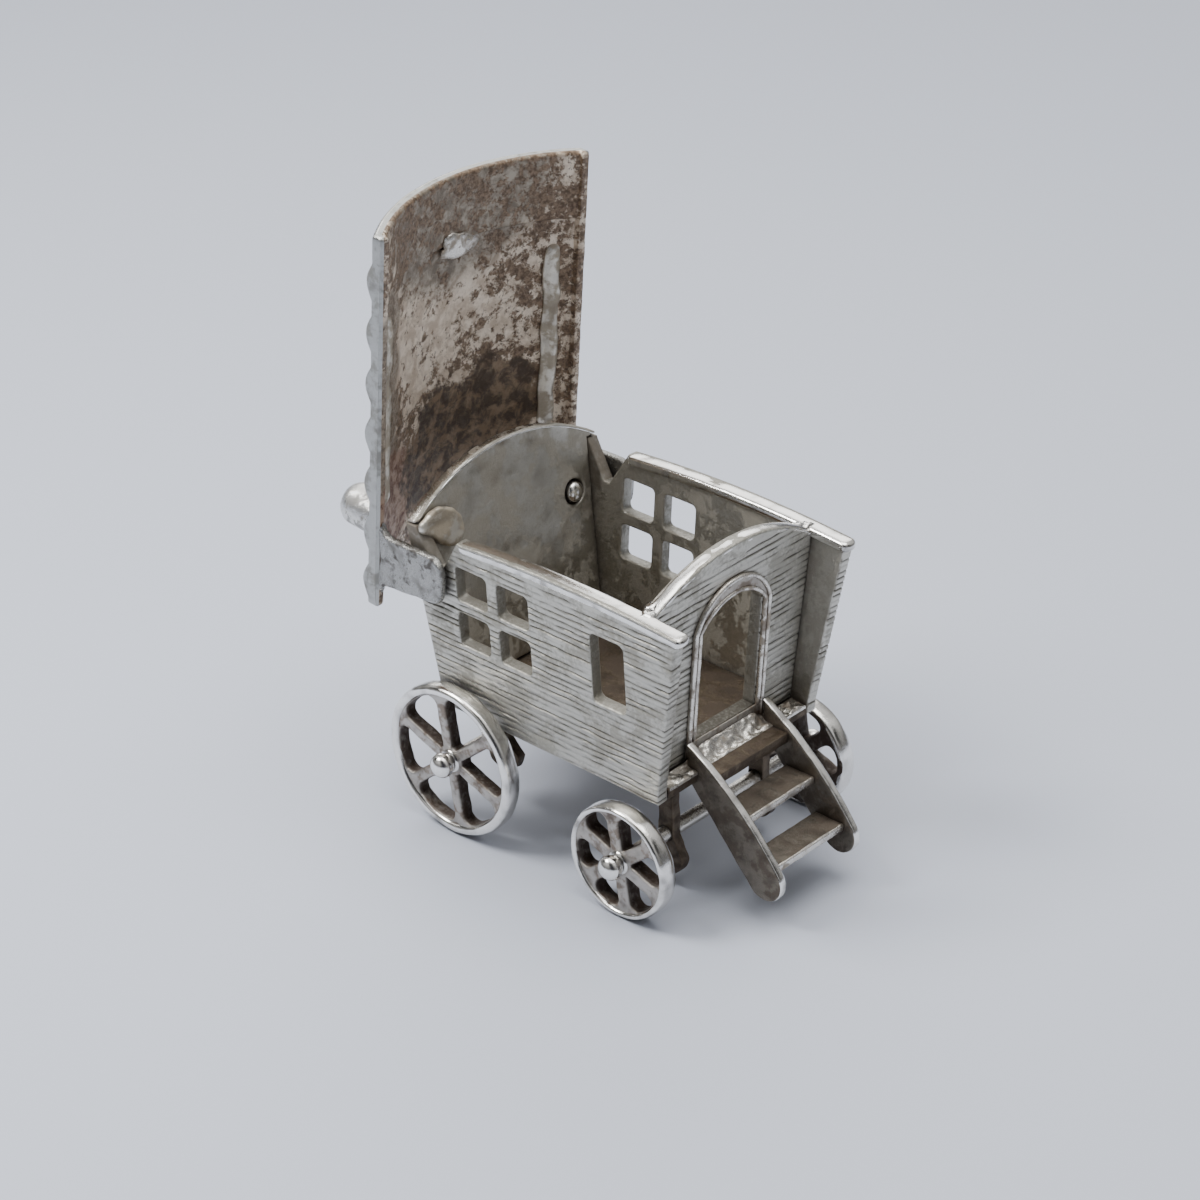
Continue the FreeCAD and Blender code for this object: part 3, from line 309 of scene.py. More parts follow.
def roof_lining():
    """Inside of the roof: pale pinkish skin broken by brown speckle and dark patches, with painted shade low
    down by the pivot and where the lining is occluded.
    """
    n = Metal("roof_lining")
    large = n.noise(0.42, 5, 0.62, warp=0.6)
    middle = n.noise(1.3, 7, 0.68, warp=0.4)
    fine = n.noise(5.0, 6, 0.7)
    drops = n.noise(1.7, 8, 0.74, warp=0.3)
    pale = n.mix(n.span(middle, 0.35, 0.65), (0.57, 0.455, 0.34), (0.90, 0.78, 0.63))
    grey = n.mix(n.span(middle, 0.38, 0.62), (0.19, 0.155, 0.115), (0.42, 0.365, 0.29))
    brown = n.mix(n.span(fine, 0.35, 0.65), (0.095, 0.06, 0.034), (0.29, 0.20, 0.13))
    dusk = n.mix(n.span(middle, 0.42, 0.6), (0.055, 0.034, 0.018), (0.24, 0.165, 0.10))
    rust = n.mix(n.span(drops, 0.42, 0.6), (0.42, 0.28, 0.19), (0.15, 0.062, 0.034))
    mud = n.mix(n.span(fine, 0.4, 0.62), (0.15, 0.115, 0.08), (0.33, 0.27, 0.205))
    porch = n.near_lid((16.8, 0.0, 4.6, 7.6))
    heart = n.near_lid((9.6, -1.2, 4.8, 5.4))
    # Painted shade over the low part of the lid, near the pivot.
    shade = n.near_lid((2.2, 0.6, 4.8, 5.6), (3.6, 2.8, 4.4, 4.2))
    corner = n.near_lid((1.6, -5.0, 3.6, 4.2))
    strip = n.near_lid(*((ahead, -5.9, 3.6, 2.6) for ahead in (1.5, 4.0, 6.5, 9.0, 11.5)))
    colour = n.mix(n.span(n.total((porch, 1), (large, 0.7)), 0.5, 0.95), pale, grey)
    speckle = n.total((drops, 0.8), (large, 0.3), (heart, -0.06))
    colour = n.mix(n.span(speckle, 0.50, 0.57), colour, brown)
    colour = n.mix(n.span(n.total((strip, 1), (middle, 0.5)), 0.42, 0.72, 0.0, 0.8), colour, mud)
    colour = n.mix(n.span(n.math("ADD", corner, middle), 0.85, 1.15), colour, rust)
    # The dark blots mix stains with that painted shade.
    blot_and_shade = n.total((large, 0.8), (drops, 0.5), (shade, 0.55))
    colour = n.mix(n.span(blot_and_shade, 0.84, 0.98, 0.0, 0.92), colour, dusk)
    # Painted shade: dusk where the lining lies in a recess or close to another part.
    edge = n.math("MULTIPLY", n.hollow(1.6), 0.75)
    colour = n.mix(n.math("MAXIMUM", edge, n.dirt()), colour, dusk)
    rough = n.span(drops, 0.4, 0.65, 0.30, 0.56)
    metal = n.span(speckle, 0.43, 0.58, 0.55, 0.15)
    return n.end(colour, rough, metal, n.bump(drops, 0.07, 1.0, n.bump(fine, 0.02, 0.9)))


MATERIALS = {name: silver(name + "_silver", *look) for name, look in SILVERS.items()}
MATERIALS["lining"] = roof_lining()


# Shapes

class Shape:
    """A mesh under construction: points in mm, faces, a darkening per point that is partly tarnish and partly
    painted shade, and a material number per face.
    """

    def __init__(self, points=(), faces=(), dirt=None, stuff=None):
        self.points = [Vector(p) for p in points]
        self.faces = [tuple(f) for f in faces]
        self.dirt = dirt or [0.0] * len(self.points)
        self.stuff = stuff or [0] * len(self.faces)

    def add(self, other):
        base = len(self.points)
        self.points += other.points
        self.faces += [tuple(i + base for i in face) for face in other.faces]
        self.dirt += other.dirt
        self.stuff += other.stuff
        return self

    def moved(self, matrix):
        self.points = [matrix @ p for p in self.points]
        return self

    def marked(self, *tests):
        """Second material on each face whose points all pass one of the tests."""
        self.stuff = [int(any(all(test(self.points[i]) for i in face) for test in tests))
                      for face in self.faces]
        return self

    def darkened(self, amount):
        """At least as much darkening as a function gives for each point."""
        self.dirt = [max(dirt, amount(point)) for dirt, point in zip(self.dirt, self.points)]


def axes(origin, u, v, w):
    """Matrix that takes local mm (u, v, w) to the part's frame."""
    turn = Matrix((u, v, w)).transposed().to_4x4()
    return Matrix.Translation(Vector(origin)) @ turn


def side_axes(sign):
    return axes((AXLE_X, sign * BOTTOM_HALF, FLOOR_TOP), X,
                (0, sign * sin(SIDE_LEAN), cos(SIDE_LEAN)), (0, -sign * cos(SIDE_LEAN), sin(SIDE_LEAN)))


def upright_axes(x, across, z, sign):
    """Axes of a plate that stands along the wagon, with its outer face to the side of the sign."""
    return axes((AXLE_X + x, sign * across, z), X, Z, (0, sign, 0))


FRONT_AXES = axes((AXLE_X + FRONT_FOOT, 0, FLOOR_TOP), Y, (sin(FRONT_LEAN), 0, cos(FRONT_LEAN)),
                  (cos(FRONT_LEAN), 0, -sin(FRONT_LEAN)))
REAR_AXES = axes((AXLE_X + REAR_FOOT, 0, FLOOR_TOP), Y, (-sin(REAR_LEAN), 0, cos(REAR_LEAN)),
                 (cos(REAR_LEAN), 0, sin(REAR_LEAN)))
LID_AXES = axes((PIVOT_X, 0, PIVOT_Z), (cos(OPEN), 0, sin(OPEN)), (-sin(OPEN), 0, cos(OPEN)), Y)


def arc(centre, radius, start, end, count):
    """Points on a circle between two angles in degrees, both ends included."""
    turns = [radians(start + (end - start) * i / count) for i in range(count + 1)]
    return [(centre[0] + radius * cos(turn), centre[1] + radius * sin(turn)) for turn in turns]


def bow(start, end, rise, count):
    """Points of a shallow arc between two points, bulging to the left of the way."""
    (x0, y0), (x1, y1) = start, end
    chord = sqrt((x1 - x0) ** 2 + (y1 - y0) ** 2)
    out = []
    for i in range(count + 1):
        t = i / count
        lift = rise * 4 * t * (1 - t)
        out.append((x0 + (x1 - x0) * t - (y1 - y0) / chord * lift,
                    y0 + (y1 - y0) * t + (x1 - x0) / chord * lift))
    return out


def arch_path(half, foot, end, rise, count):
    """Open outline up, over an arch and down again."""
    drop = (half ** 2 - rise ** 2) / (2 * rise)
    start = degrees(atan2(drop, half))
    return [(half, foot)] + arc((0, end - drop), rise + drop, start, 180 - start, count) + [(-half, foot)]


def box_loop(x0, y0, x1, y1, radius):
    """Rectangle with rounded corners."""
    out = []
    for cx, cy, a in ((x1 - radius, y0 + radius, -90), (x1 - radius, y1 - radius, 0),
                      (x0 + radius, y1 - radius, 90), (x0 + radius, y0 + radius, 180)):
        out += arc((cx, cy), radius, a, a + 90, 4)
    return out


def rounded(loop, times):
    """Closed outline with its corners cut again and again."""
    for _ in range(times):
        out = []
        for a, b in zip(loop, loop[1:] + loop[:1]):
            out += [(0.75 * a[0] + 0.25 * b[0], 0.75 * a[1] + 0.25 * b[1]),
                    (0.25 * a[0] + 0.75 * b[0], 0.25 * a[1] + 0.75 * b[1])]
        loop = out
    return loop


def divided(line, pitch):
    """Line with its long stretches divided into pieces about a pitch long."""
    out = []
    for a, b in zip(line, line[1:]):
        pieces = max(1, int(sqrt((b[0] - a[0]) ** 2 + (b[1] - a[1]) ** 2) / pitch))
        out += [(a[0] + (b[0] - a[0]) * i / pieces, a[1] + (b[1] - a[1]) * i / pieces) for i in range(pieces)]
    return out + [line[-1]]


def oval(wide, high, power, count):
    """Loop between an ellipse and a rectangle, from its two half sizes."""
    out = []
    for k in range(count):
        c, s = cos(2 * pi * k / count), sin(2 * pi * k / count)
        out.append((wide * abs(c) ** (2 / power) * (1 if c > 0 else -1),
                    high * abs(s) ** (2 / power) * (1 if s > 0 else -1)))
    return out


def area_of(loop):
    return sum(a[0] * b[1] - b[0] * a[1] for a, b in zip(loop, loop[1:] + loop[:1])) / 2


def grid(rows, ring, closed=True, looped=False):
    """Faces between rows of points: closed joins a row's ends, looped the last row to the first."""
    faces = []
    for r in range(rows if looped else rows - 1):
        here, there = r * ring, (r + 1) % rows * ring
        for k in range(ring if closed else ring - 1):
            m = (k + 1) % ring
            faces.append((here + k, here + m, there + m, there + k))
    return faces


def plate(loops, low, high, bevel, resolution=2):
    """Flat plate from an outline and its holes, with rounded edges."""
    curve = bpy.data.curves.new("outline", "CURVE")
    curve.dimensions = "2D"
    curve.fill_mode = "BOTH"
    curve.extrude = (high - low) / 2 - bevel
    curve.bevel_depth = bevel
    curve.bevel_resolution = resolution
    curve.offset = -bevel
    for index, loop in enumerate(loops):
        if (area_of(loop) < 0) != (index > 0):
            loop = loop[::-1]
        spline = curve.splines.new("POLY")
        spline.points.add(len(loop) - 1)
        for point, (x, y) in zip(spline.points, loop):
            point.co = (x, y, 0, 1)
        spline.use_cyclic_u = True
    holder = bpy.data.objects.new("outline", curve)
    scene.collection.objects.link(holder)
    graph = bpy.context.evaluated_depsgraph_get()
    mesh = bpy.data.meshes.new_from_object(holder.evaluated_get(graph))
    bpy.data.objects.remove(holder)
    middle = (low + high) / 2
    points = [(p.co.x, p.co.y, p.co.z + middle) for p in mesh.vertices]
    shape = Shape(points, [tuple(f.vertices) for f in mesh.polygons])
    bpy.data.meshes.remove(mesh)
    return shape


def turned(profile, matrix, segments, closed=False):
    """Turned shape about the local u axis, from (u, radius) pairs."""
    turns = [2 * pi * k / segments for k in range(segments)]
    points = [matrix @ Vector((u, r * cos(turn), r * sin(turn))) for turn in turns for u, r in profile]
    return Shape(points, grid(segments, len(profile), closed, looped=True))


def swept(path, up, section, ends):
    """Bar along a path of points; section is a loop of (side, up) pairs, rounded off at the ends."""
    count, ring = len(path), len(section)
    points, length = [], [0.0]
    for a, b in zip(path, path[1:]):
        length.append(length[-1] + (b - a).length)
    for i, here in enumerate(path):
        way = (path[min(i + 1, count - 1)] - path[max(i - 1, 0)]).normalized()
        lift = (up - way * up.dot(way)).normalized()
        side = way.cross(lift)
        near = min(length[i], length[-1] - length[i])
        size = 1.0 if near >= ends else max(0.04, sqrt(max(0.0, 1 - (1 - near / ends) ** 2)))
        points += [here + side * s * size + lift * t * size for s, t in section]
    caps = [tuple(range(ring))[::-1], tuple(range((count - 1) * ring, count * ring))]
    return Shape(points, grid(count, ring) + caps)


def eased(path, ends):
    """Path points with extra ones near both ends, so that a rounded end is smooth."""
    out, fine = list(path), 5
    for _ in range(2):
        first, second = out[0], out[1]
        way = (second - first).normalized()
        extra = [first + way * ends * (1 - cos(pi / 2 * i / fine)) for i in range(1, fine + 1)]
        out = ([first] + extra + [p for p in out[1:] if (p - first).length > ends * 1.05])[::-1]
    return out


def blob(centre, size, seed, amount):
    """Lump of solder: a squashed ball with an uneven skin."""
    points, rings = [], 10
    across = 2 * rings
    for i in range(rings + 1):
        for k in range(across):
            up, round_ = pi * i / rings, 2 * pi * k / across
            way = Vector((sin(up) * cos(round_), sin(up) * sin(round_), cos(up)))
            reach = 1 + amount * noise.noise(way * 1.4 + Vector((seed, seed * 0.7, 3)))
            reach += 0.4 * amount * noise.noise(way * 4.0 + Vector((seed, 1, 3)))
            points.append(Vector(way[n] * size[n] * reach for n in range(3)))
    return Shape(points, grid(rings + 1, across)).moved(Matrix.Translation(Vector(centre)))


# Mesh work

def with_mesh(shape, work):
    """Run mesh work on a shape: welded, with outward normals, and read it back."""
    bm = bmesh.new()
    dirt = bm.verts.layers.float.new("dirt")
    points = [bm.verts.new(p) for p in shape.points]
    for point, value in zip(points, shape.dirt):
        point[dirt] = value
    for face, stuff in zip(shape.faces, shape.stuff):
        try:
            made = bm.faces.new([points[i] for i in face])
            made.material_index = stuff
        except ValueError:
            # The same face is there already
            pass
    bmesh.ops.remove_doubles(bm, verts=bm.verts, dist=0.0005)
    bmesh.ops.recalc_face_normals(bm, faces=bm.faces)
    bm.normal_update()
    work(bm, dirt)
    bm.verts.index_update()
    out = Shape([p.co.copy() for p in bm.verts], [[p.index for p in f.verts] for f in bm.faces],
                [p[dirt] for p in bm.verts], [f.material_index for f in bm.faces])
    bm.free()
    return out


def cut(bm, normal, levels):
    """Cut all faces along parallel planes."""
    for level in levels:
        bmesh.ops.bisect_plane(bm, geom=bm.verts[:] + bm.edges[:] + bm.faces[:], dist=0.0004,
                               plane_co=Vector(normal) * level, plane_no=normal)


def steps(low, high, pitch):
    """Even levels between two ends, about a pitch apart."""
    count = max(1, round((high - low) / pitch))
    return [low + (high - low) * i / count for i in range(1, count)]


def grooved(shape, low, high, pitch, depth, along, facing, plain, seed):
    """Fine plank grooves cut across a plate's v on the sides that face out, except where it is plain; plain
    places get painted shadow, and the other edge faces are darkened half way.
    """
    width, wander, grain = 0.07, 0.06, 0.014
    rows = [low + pitch * i for i in range(int((high - low) / pitch) + 1)]

    def work(bm, dirt):
        cut(bm, X, along)
        for row in rows:
            cut(bm, Y, (row - width, row, row + width))
        bm.normal_update()
        moves = []
        for point in bm.verts:
            x, y, _ = point.co
            if plain(point.co) or not facing(point.normal, point.co):
                # Plain places get painted shadow; edge faces that are not grooved, window reveals among them,
                # are darkened half way.
                least = 0.75 if plain(point.co) else 0.5 if abs(point.normal.z) < 0.5 else 0.0
                point[dirt] = max(point[dirt], least)
                continue
            row = min(rows, key=lambda r: abs(r - y))
            worn = noise.noise(Vector((x * 0.5 + seed, row * 5.1, 0.3)))
            broken = noise.noise(Vector((x * 2.1 + seed, row * 7.3, 1.7)))
            share = max(0.0, 1 - abs(row - y) / width)
            share *= min(1.15, max(0.12, 0.62 + 1.1 * worn + 0.7 * broken))
            wave = wander * noise.noise(Vector((x * 0.9, row * 3.7, seed)))
            rough = grain * noise.noise(Vector((x * 2.6, y * 9.0, seed + 5)))
            wave = Vector((0, wave if abs(point.normal.z) > 0.95 else 0, 0))
            moves.append((point, -point.normal * (depth * share + rough) + wave, share))
        for point, move, share in moves:
            point.co += move
            point[dirt] = min(1.0, 0.9 * share + 0.08)
    return with_mesh(shape, work)


def roughened(shape, amount, scale, seed, cells=None):
    """Cast surface: small bumps over the whole shape, after cutting it into cells when asked."""
    def work(bm, dirt):
        if cells:
            size = [(min(p.co[k] for p in bm.verts), max(p.co[k] for p in bm.verts)) for k in range(3)]
            for k, normal in enumerate((X, Y, Z)):
                cut(bm, normal, steps(*size[k], cells))
            bm.normal_update()
        moves = []
        for point in bm.verts:
            where = point.co * scale + Vector((seed, 2.0 * seed, 0.5))
            height = noise.noise(where) + 0.5 * noise.noise(where * 2.3)
            moves.append((point, point.normal * amount * height, height))
        for point, move, height in moves:
            point.co += move
            point[dirt] = max(point[dirt], min(0.6, max(0.0, -height - 0.1)))
    return with_mesh(shape, work)


def make(name, shape, body, materials, replaced=None, sharp=40):
    """Turn a shape into a piece that rides on a body, and may replace a CAD node."""
    shape = with_mesh(shape, lambda bm, dirt: None)
    mesh = bpy.data.meshes.new(name)
    mesh.from_pydata([p * MM for p in shape.points], [], shape.faces)
    mesh.attributes.new("dirt", "FLOAT", "POINT").data.foreach_set("value", shape.dirt)
    mesh.polygons.foreach_set("material_index", shape.stuff)
    for material in materials:
        mesh.materials.append(MATERIALS[material])
    mesh.shade_smooth()
    mesh.set_sharp_from_angle(angle=radians(sharp))
    mesh.update()
    piece = bpy.data.objects.new(name, mesh)
    scene.collection.objects.link(piece)
    if replaced:
        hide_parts(replaced)
    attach(piece, body)


# The wagon's body

def side_walls():
    slant = RISE / cos(SIDE_LEAN)
    skirt = -(FLOOR_TOP - FLOOR_LOW) / cos(SIDE_LEAN)
    middle = NOTCH + NOTCH_WIDE / 2
    top = bow((NOTCH + NOTCH_WIDE, slant), (BODY_TOP, slant), CAMBER, 40)
    outline = [(REAR_FOOT, 0), (REAR_FOOT, skirt), (BODY_FOOT, skirt), (BODY_FOOT, 0)] + top[::-1]
    outline += [(middle + NOTCH_FOOT / 2, slant - NOTCH_DEEP), (middle - NOTCH_FOOT / 2, slant - NOTCH_DEEP),
                (NOTCH, slant), (REAR_TOP, slant)]
    loops = [outline]

    def window(x, below_rail, lift, wide, high, corner):
        z = (RAIL - below_rail - FLOOR_TOP) / cos(SIDE_LEAN) + lift
        loops.append(box_loop(x - wide / 2, z - high / 2, x + wide / 2, z + high / 2, corner))

    for column in (-1, 1):
        for row in (-1, 1):
            window(PANE_X + column * (PANE_WIDE + PANE_BAR) / 2, PANES_BELOW_RAIL,
                   row * (PANE_HIGH + PANE_BAR) / 2, PANE_WIDE, PANE_HIGH, 0.26)
    window(LANCET_X, LANCET_BELOW_RAIL, 0, LANCET_WIDE, LANCET_HIGH, 0.3)
    for name, sign in RIGHT_LEFT:
        wall = plate(loops, 0, WALL, 0.09)
        # The stub beside the notch stays plain and gets the inner silver with painted shadow.
        wall = grooved(wall, skirt + 0.15, slant - 0.3, 0.325, 0.07, steps(REAR_TOP, BODY_TOP, 0.3),
                       lambda way, at: way.z < -0.6 or (way.x > 0.5 and at.x > BODY_FOOT + 0.15 * at.y),
                       lambda at: at.x < NOTCH + 0.9 and at.y > slant - 2.6, 10 + sign)
        wall.marked(lambda p: p.z > WALL - 0.1, lambda p: p.x < NOTCH + 1.2 and p.y > slant - 2.5)
        wall.moved(side_axes(sign))
        make(f"wall_{name}", wall, "wagon", ["plank", "inner"], f"side_wall_{name}")
        half, high, across, front, rear = 0.47, 0.28, 0.44, BODY_TOP + 0.22, NOTCH + NOTCH_WIDE - 0.03
        path = [side_axes(sign) @ Vector((x, y - high + 0.01, across))
                for x, y in bow((rear, slant), (front, slant), CAMBER, 60)]
        up = side_axes(sign).to_3x3() @ Vector(Y)
        rail = swept(eased(path, 0.3), up, oval(half, high, 3.0, 24), 0.3)
        rail = roughened(rail, 0.012, 1.3, 4 + sign)
        make(f"rail_{name}", rail, "wagon", ["polished"], sharp=60)


def half_inside(height):
    """Centre plane to a side wall's inner face, less a gap."""
    return BOTTOM_HALF + (height - FLOOR_TOP) * SIDE_SPREAD / RISE - WALL / cos(SIDE_LEAN) - 0.02


def arch_edge(name, wall_axes, line, sink, depth, half, high, amount, seed):
    """Bright bar along the top of an arched wall."""
    path = [wall_axes @ Vector((x, y - sink, depth)) for x, y in line[1:-1]]
    up = wall_axes.to_3x3() @ Vector(Y)
    bar = swept(eased(path, 0.2), up, oval(half, high, 2.6, 16), 0.2)
    make(name, roughened(bar, amount, 1.6, seed), "wagon", ["polished"], sharp=70)


def front_wall():
    slant, rise = RISE / cos(FRONT_LEAN), 1.7
    foot, top = half_inside(FLOOR_TOP), half_inside(RAIL)
    outline = [(foot, 0)] + arch_path(top, 0, slant, rise, 48)[1:-1] + [(-foot, 0)]
    spring = (RAIL - DOOR_BELOW_RAIL - FLOOR_TOP) / cos(FRONT_LEAN)
    door = arch_path(DOOR_HALF, DOOR_SILL, spring, DOOR_RISE, 20)
    wall = plate([outline, door], -FRONT_WALL, 0, 0.1)
    reach = 5.7
    wall = grooved(wall, 0.2, slant + 1.2, 0.34, 0.055, steps(-reach, reach, 0.35),
                   lambda way, at: way.z > 0.6, lambda at: False, 31)
    wall.marked(lambda p: p.z < 0.09 - FRONT_WALL)
    wall.darkened(lambda p: abs(p.x) < DOOR_HALF + 0.05 and p.y < DOOR_SILL + 0.05
                and min(0.9, max(0.0, (p.y - 0.35) * 3)))
    make("front_wall_cast", wall.moved(FRONT_AXES), "wagon", ["plank", "inner"], "front_wall")
    door_moulding(spring)
    edge = arch_path(top - 0.02, 0, slant - 0.02, rise - 0.04, 60)
    arch_edge("front_arch_edge", FRONT_AXES, edge, 0.1, -0.36, 0.36, 0.17, 0.02, 9)


def door_moulding(spring):
    """Thin dark plate round the doorway, with a bead along each of its edges."""
    outer = arch_path(DOOR_HALF + 0.55, 0.04, spring, DOOR_RISE + 0.95, 24)
    inner = arch_path(DOOR_HALF + 0.04, DOOR_SILL + 0.02, spring, DOOR_RISE + 0.04, 24)
    thick = 0.1
    moulding = plate([outer, inner], 0.0, thick, 0.03)
    moulding.dirt = [0.55] * len(moulding.points)
    for half, foot, rise, radius in ((DOOR_HALF + 0.42, 0.06, DOOR_RISE + 0.83, 0.13),
                                     (DOOR_HALF + 0.13, DOOR_SILL - 0.05, DOOR_RISE + 0.12, 0.12)):
        path = [Vector((x, y, thick)) for x, y in divided(arch_path(half, foot, spring, rise, 40), 0.3)]
        moulding.add(swept(path, Vector(Z), oval(radius, radius, 2.0, 12), 0.1))
    moulding = roughened(moulding, 0.02, 2.0, 7).moved(FRONT_AXES)
    make("door_moulding", moulding, "wagon", ["cast"], sharp=70)


def rear_wall():
    slant, half, rise = RISE / cos(REAR_LEAN), 6.3, 1.96
    foot, top, shoulder = half_inside(FLOOR_TOP), half_inside(RAIL), slant + 0.04
    edge = arch_path(half - 0.06, 0, slant + 0.10, rise - 0.01, 60)
    arch_edge("rear_arch_edge", REAR_AXES, edge, 0.105, 0.36, 0.31, 0.105, 0.008, 19)
    outline = [(foot, 0), (top, slant), (top, shoulder), (half, shoulder)]
    outline += arch_path(half, 0, slant + 0.12, rise, 60)[1:-1]
    outline += [(-half, shoulder), (-top, shoulder), (-top, slant), (-foot, 0)]
    stud_up = (RAIL - STUD_BELOW_RAIL - FLOOR_TOP) / cos(REAR_LEAN)
    hole = arc((STUD_ACROSS, stud_up), STUD_RADIUS + STUD_GAP, 0, 350, 35)
    wall = roughened(plate([outline, hole], 0, REAR_WALL, 0.12), 0.03, 1.1, 12, cells=0.45)
    wall.marked(lambda p: p.z > REAR_WALL - 0.15)
    make("rear_wall_cast", wall.moved(REAR_AXES), "wagon", ["cast", "inner"], "rear_wall")
    rear_stud(stud_up)
    corner_solder()


def rear_stud(up):
    """Stud through the rear wall: flat head outside, dome inside."""
    high, proud, neck, edge = 0.2, 0.3, STUD_RADIUS - 0.02, STUD_HEAD - 0.03
    profile = [(-high, 0), (-high, edge - 0.1), (-0.14, edge), (-0.05, STUD_HEAD), (-0.02, edge),
               (-0.02, neck), (REAR_WALL - 0.1, neck), (REAR_WALL - 0.05, STUD_RADIUS)]
    profile += [(REAR_WALL + proud * sin(radians(a)), STUD_RADIUS * cos(radians(a))) for a in range(0, 91, 9)]
    place = REAR_AXES @ axes((STUD_ACROSS, up, 0), Z, X, Y)
    make("rear_stud_turned", turned(profile, place, 40), "wagon", ["polished"], "rear_stud")


def corner_solder():
    """Rough rounded patch of solder inside the rear wall, at its right."""
    lobe = ((-6.36, 15.75), (-6.28, 15.98), (-5.85, 16.14), (-5.24, 16.46), (-4.35, 16.12), (-3.66, 15.48),
            (-3.55, 14.9), (-3.87, 14.4), (-4.48, 14.1), (-5.27, 14.65), (-5.82, 15.2), (-6.3, 15.5))
    sink, inner, outer = 0.13, REAR_WALL + 0.02, REAR_WALL + 0.43
    loop = [(y, (z - FLOOR_TOP) / cos(REAR_LEAN) - sink) for y, z in lobe]
    tab = roughened(plate([rounded(loop, 2)], inner, outer, 0.17, 4), 0.13, 1.0, 2, cells=0.2)
    make("corner_solder", tab.moved(REAR_AXES), "wagon", ["rib"], "corner_tab", sharp=80)


def floor_plate():
    half = [(REAR_FOOT, FLOOR_HALF), (BODY_FOOT, FLOOR_HALF), (BODY_FOOT, STEP_HALF + 0.5),
            (PORCH_START, STEP_HALF + 0.5), (PORCH_START, STEP_HALF), (PORCH_REACH, STEP_HALF)]
    outline = [(AXLE_X + x, y) for x, y in half + [(x, -y) for x, y in reversed(half)]]
    floor = roughened(plate([outline], FLOOR_LOW, FLOOR_TOP, 0.06), 0.02, 1.3, 3, cells=0.8)
    make("floor_cast", floor, "wagon", ["under"], "floor")


def porch_steps():
    reach, thick = STRINGER_RADIUS * sqrt(0.5), 0.5
    front = (STRINGER_FOOT[0] + reach, STRINGER_FOOT[1] + reach)
    board = [(PORCH_START, STRINGER_LOW)] + arc(STRINGER_FOOT, STRINGER_RADIUS, -135, 45, 16)
    board += bow((PORCH_START, STRINGER_HIGH), front, 0.38, 24)[::-1][1:]
    for name, sign in RIGHT_LEFT:
        shape = roughened(plate([board], 0, thick, 0.13, 3), 0.02, 1.4, 20 + sign, cells=0.35)
        shape.marked(lambda p: p.z > thick - 0.06, lambda p: p.z < 0.06)
        make(f"stringer_{name}_cast", shape.moved(upright_axes(0, STEP_HALF, 0, sign)), "wagon",
             ["polished", "board"], f"stringer_{name}", sharp=60)
    for name, reach, height in TREADS:
        front, half = AXLE_X + reach, STEP_HALF + 0.02
        loop = box_loop(front - TREAD_DEEP, -half, front, half, 0.06)
        shape = plate([loop], height - TREAD_THICK, height, 0.11, 3)
        shape = roughened(shape, 0.03, 1.5, 40 + reach, cells=0.3)
        shape.marked(lambda p: p.x > front - 0.14)
        make(f"tread_{name}_cast", shape, "wagon", ["board", "cast"], f"tread_{name}", sharp=60)


# The running gear

def hangers():
    for end, x, z, _, _, _, drop, lead in AXLES:
        rise, waist, stem = FLOOR_LOW - z, HANGER_WAIST / 2, HANGER_STEM / 2
        loop = arc((lead, -drop), HANGER_RADIUS, 180, 360, 20)
        loop += [(waist, 0), (stem, rise), (-stem, rise), (-waist, 0)]
        bore = arc((0, 0), AXLE_RADIUS + 0.015, 0, 340, 17)
        for name, sign in RIGHT_LEFT:
            shape = plate([loop, bore], -HANGER_THICK / 2, HANGER_THICK / 2, 0.07, 3)
            shape = roughened(shape, 0.04, 1.6, 50 + x + sign, cells=0.3)
            shape.moved(upright_axes(x, HANGER_ACROSS, z, sign))
            node = f"hanger_{end}_{name}"
            make(node + "_cast", shape, "wagon", ["under"], node, sharp=60)


def axles():
    """Bars with a journal and a balled head at each end."""
    bar, head, start = TRACK - HUB_IN - END_PLAY, TRACK + HUB_OUT + END_PLAY, pi / 2 + 0.62
    half = [(0, AXLE_RADIUS), (bar - 0.05, AXLE_RADIUS), (bar, AXLE_RADIUS - 0.04), (bar, JOURNAL_RADIUS),
            (head, JOURNAL_RADIUS), (head, 0.5)]
    for i in range(1, 17):
        angle = start - start * i / 16
        half.append((head + 0.34 + 0.52 * cos(angle), 0.62 * sin(angle)))
    profile = [(-u, r) for u, r in reversed(half)] + half[1:]
    for end, x, z, *_ in AXLES:
        shape = turned(profile, axes((AXLE_X + x, 0, z), Y, X, Z), 48)
        shape.marked(lambda p: abs(p.y) < TRACK - 0.2)
        make(f"axle_{end}_cast", shape, "wagon", ["polished", "cast"], f"axle_{end}", sharp=50)


def spoke_holes(inner, width, corner=0.45, root=0.80):
    """Six openings between the spokes, each with two rounded corners at the rim."""
    step, reach = pi / SPOKES, inner - corner
    aim = step - asin((width / 2 + corner) / reach)
    centre = (reach * sin(aim), reach * cos(aim))
    half = [(root * tan(step) - width / 2 / cos(step), root)]
    for i in range(9):
        angle = -step + (pi / 2 - aim + step) * i / 8
        half.append((centre[0] + corner * cos(angle), centre[1] + corner * sin(angle)))
    for i in range(1, 5):
        angle = aim * (1 - i / 4)
        half.append((inner * sin(angle), inner * cos(angle)))
    loop = half + [(-a, b) for a, b in reversed(half[:-1])]
    turns = [2 * step * k for k in range(SPOKES)]
    return [[(a * cos(t) + b * sin(t), -a * sin(t) + b * cos(t)) for a, b in loop] for t in turns]


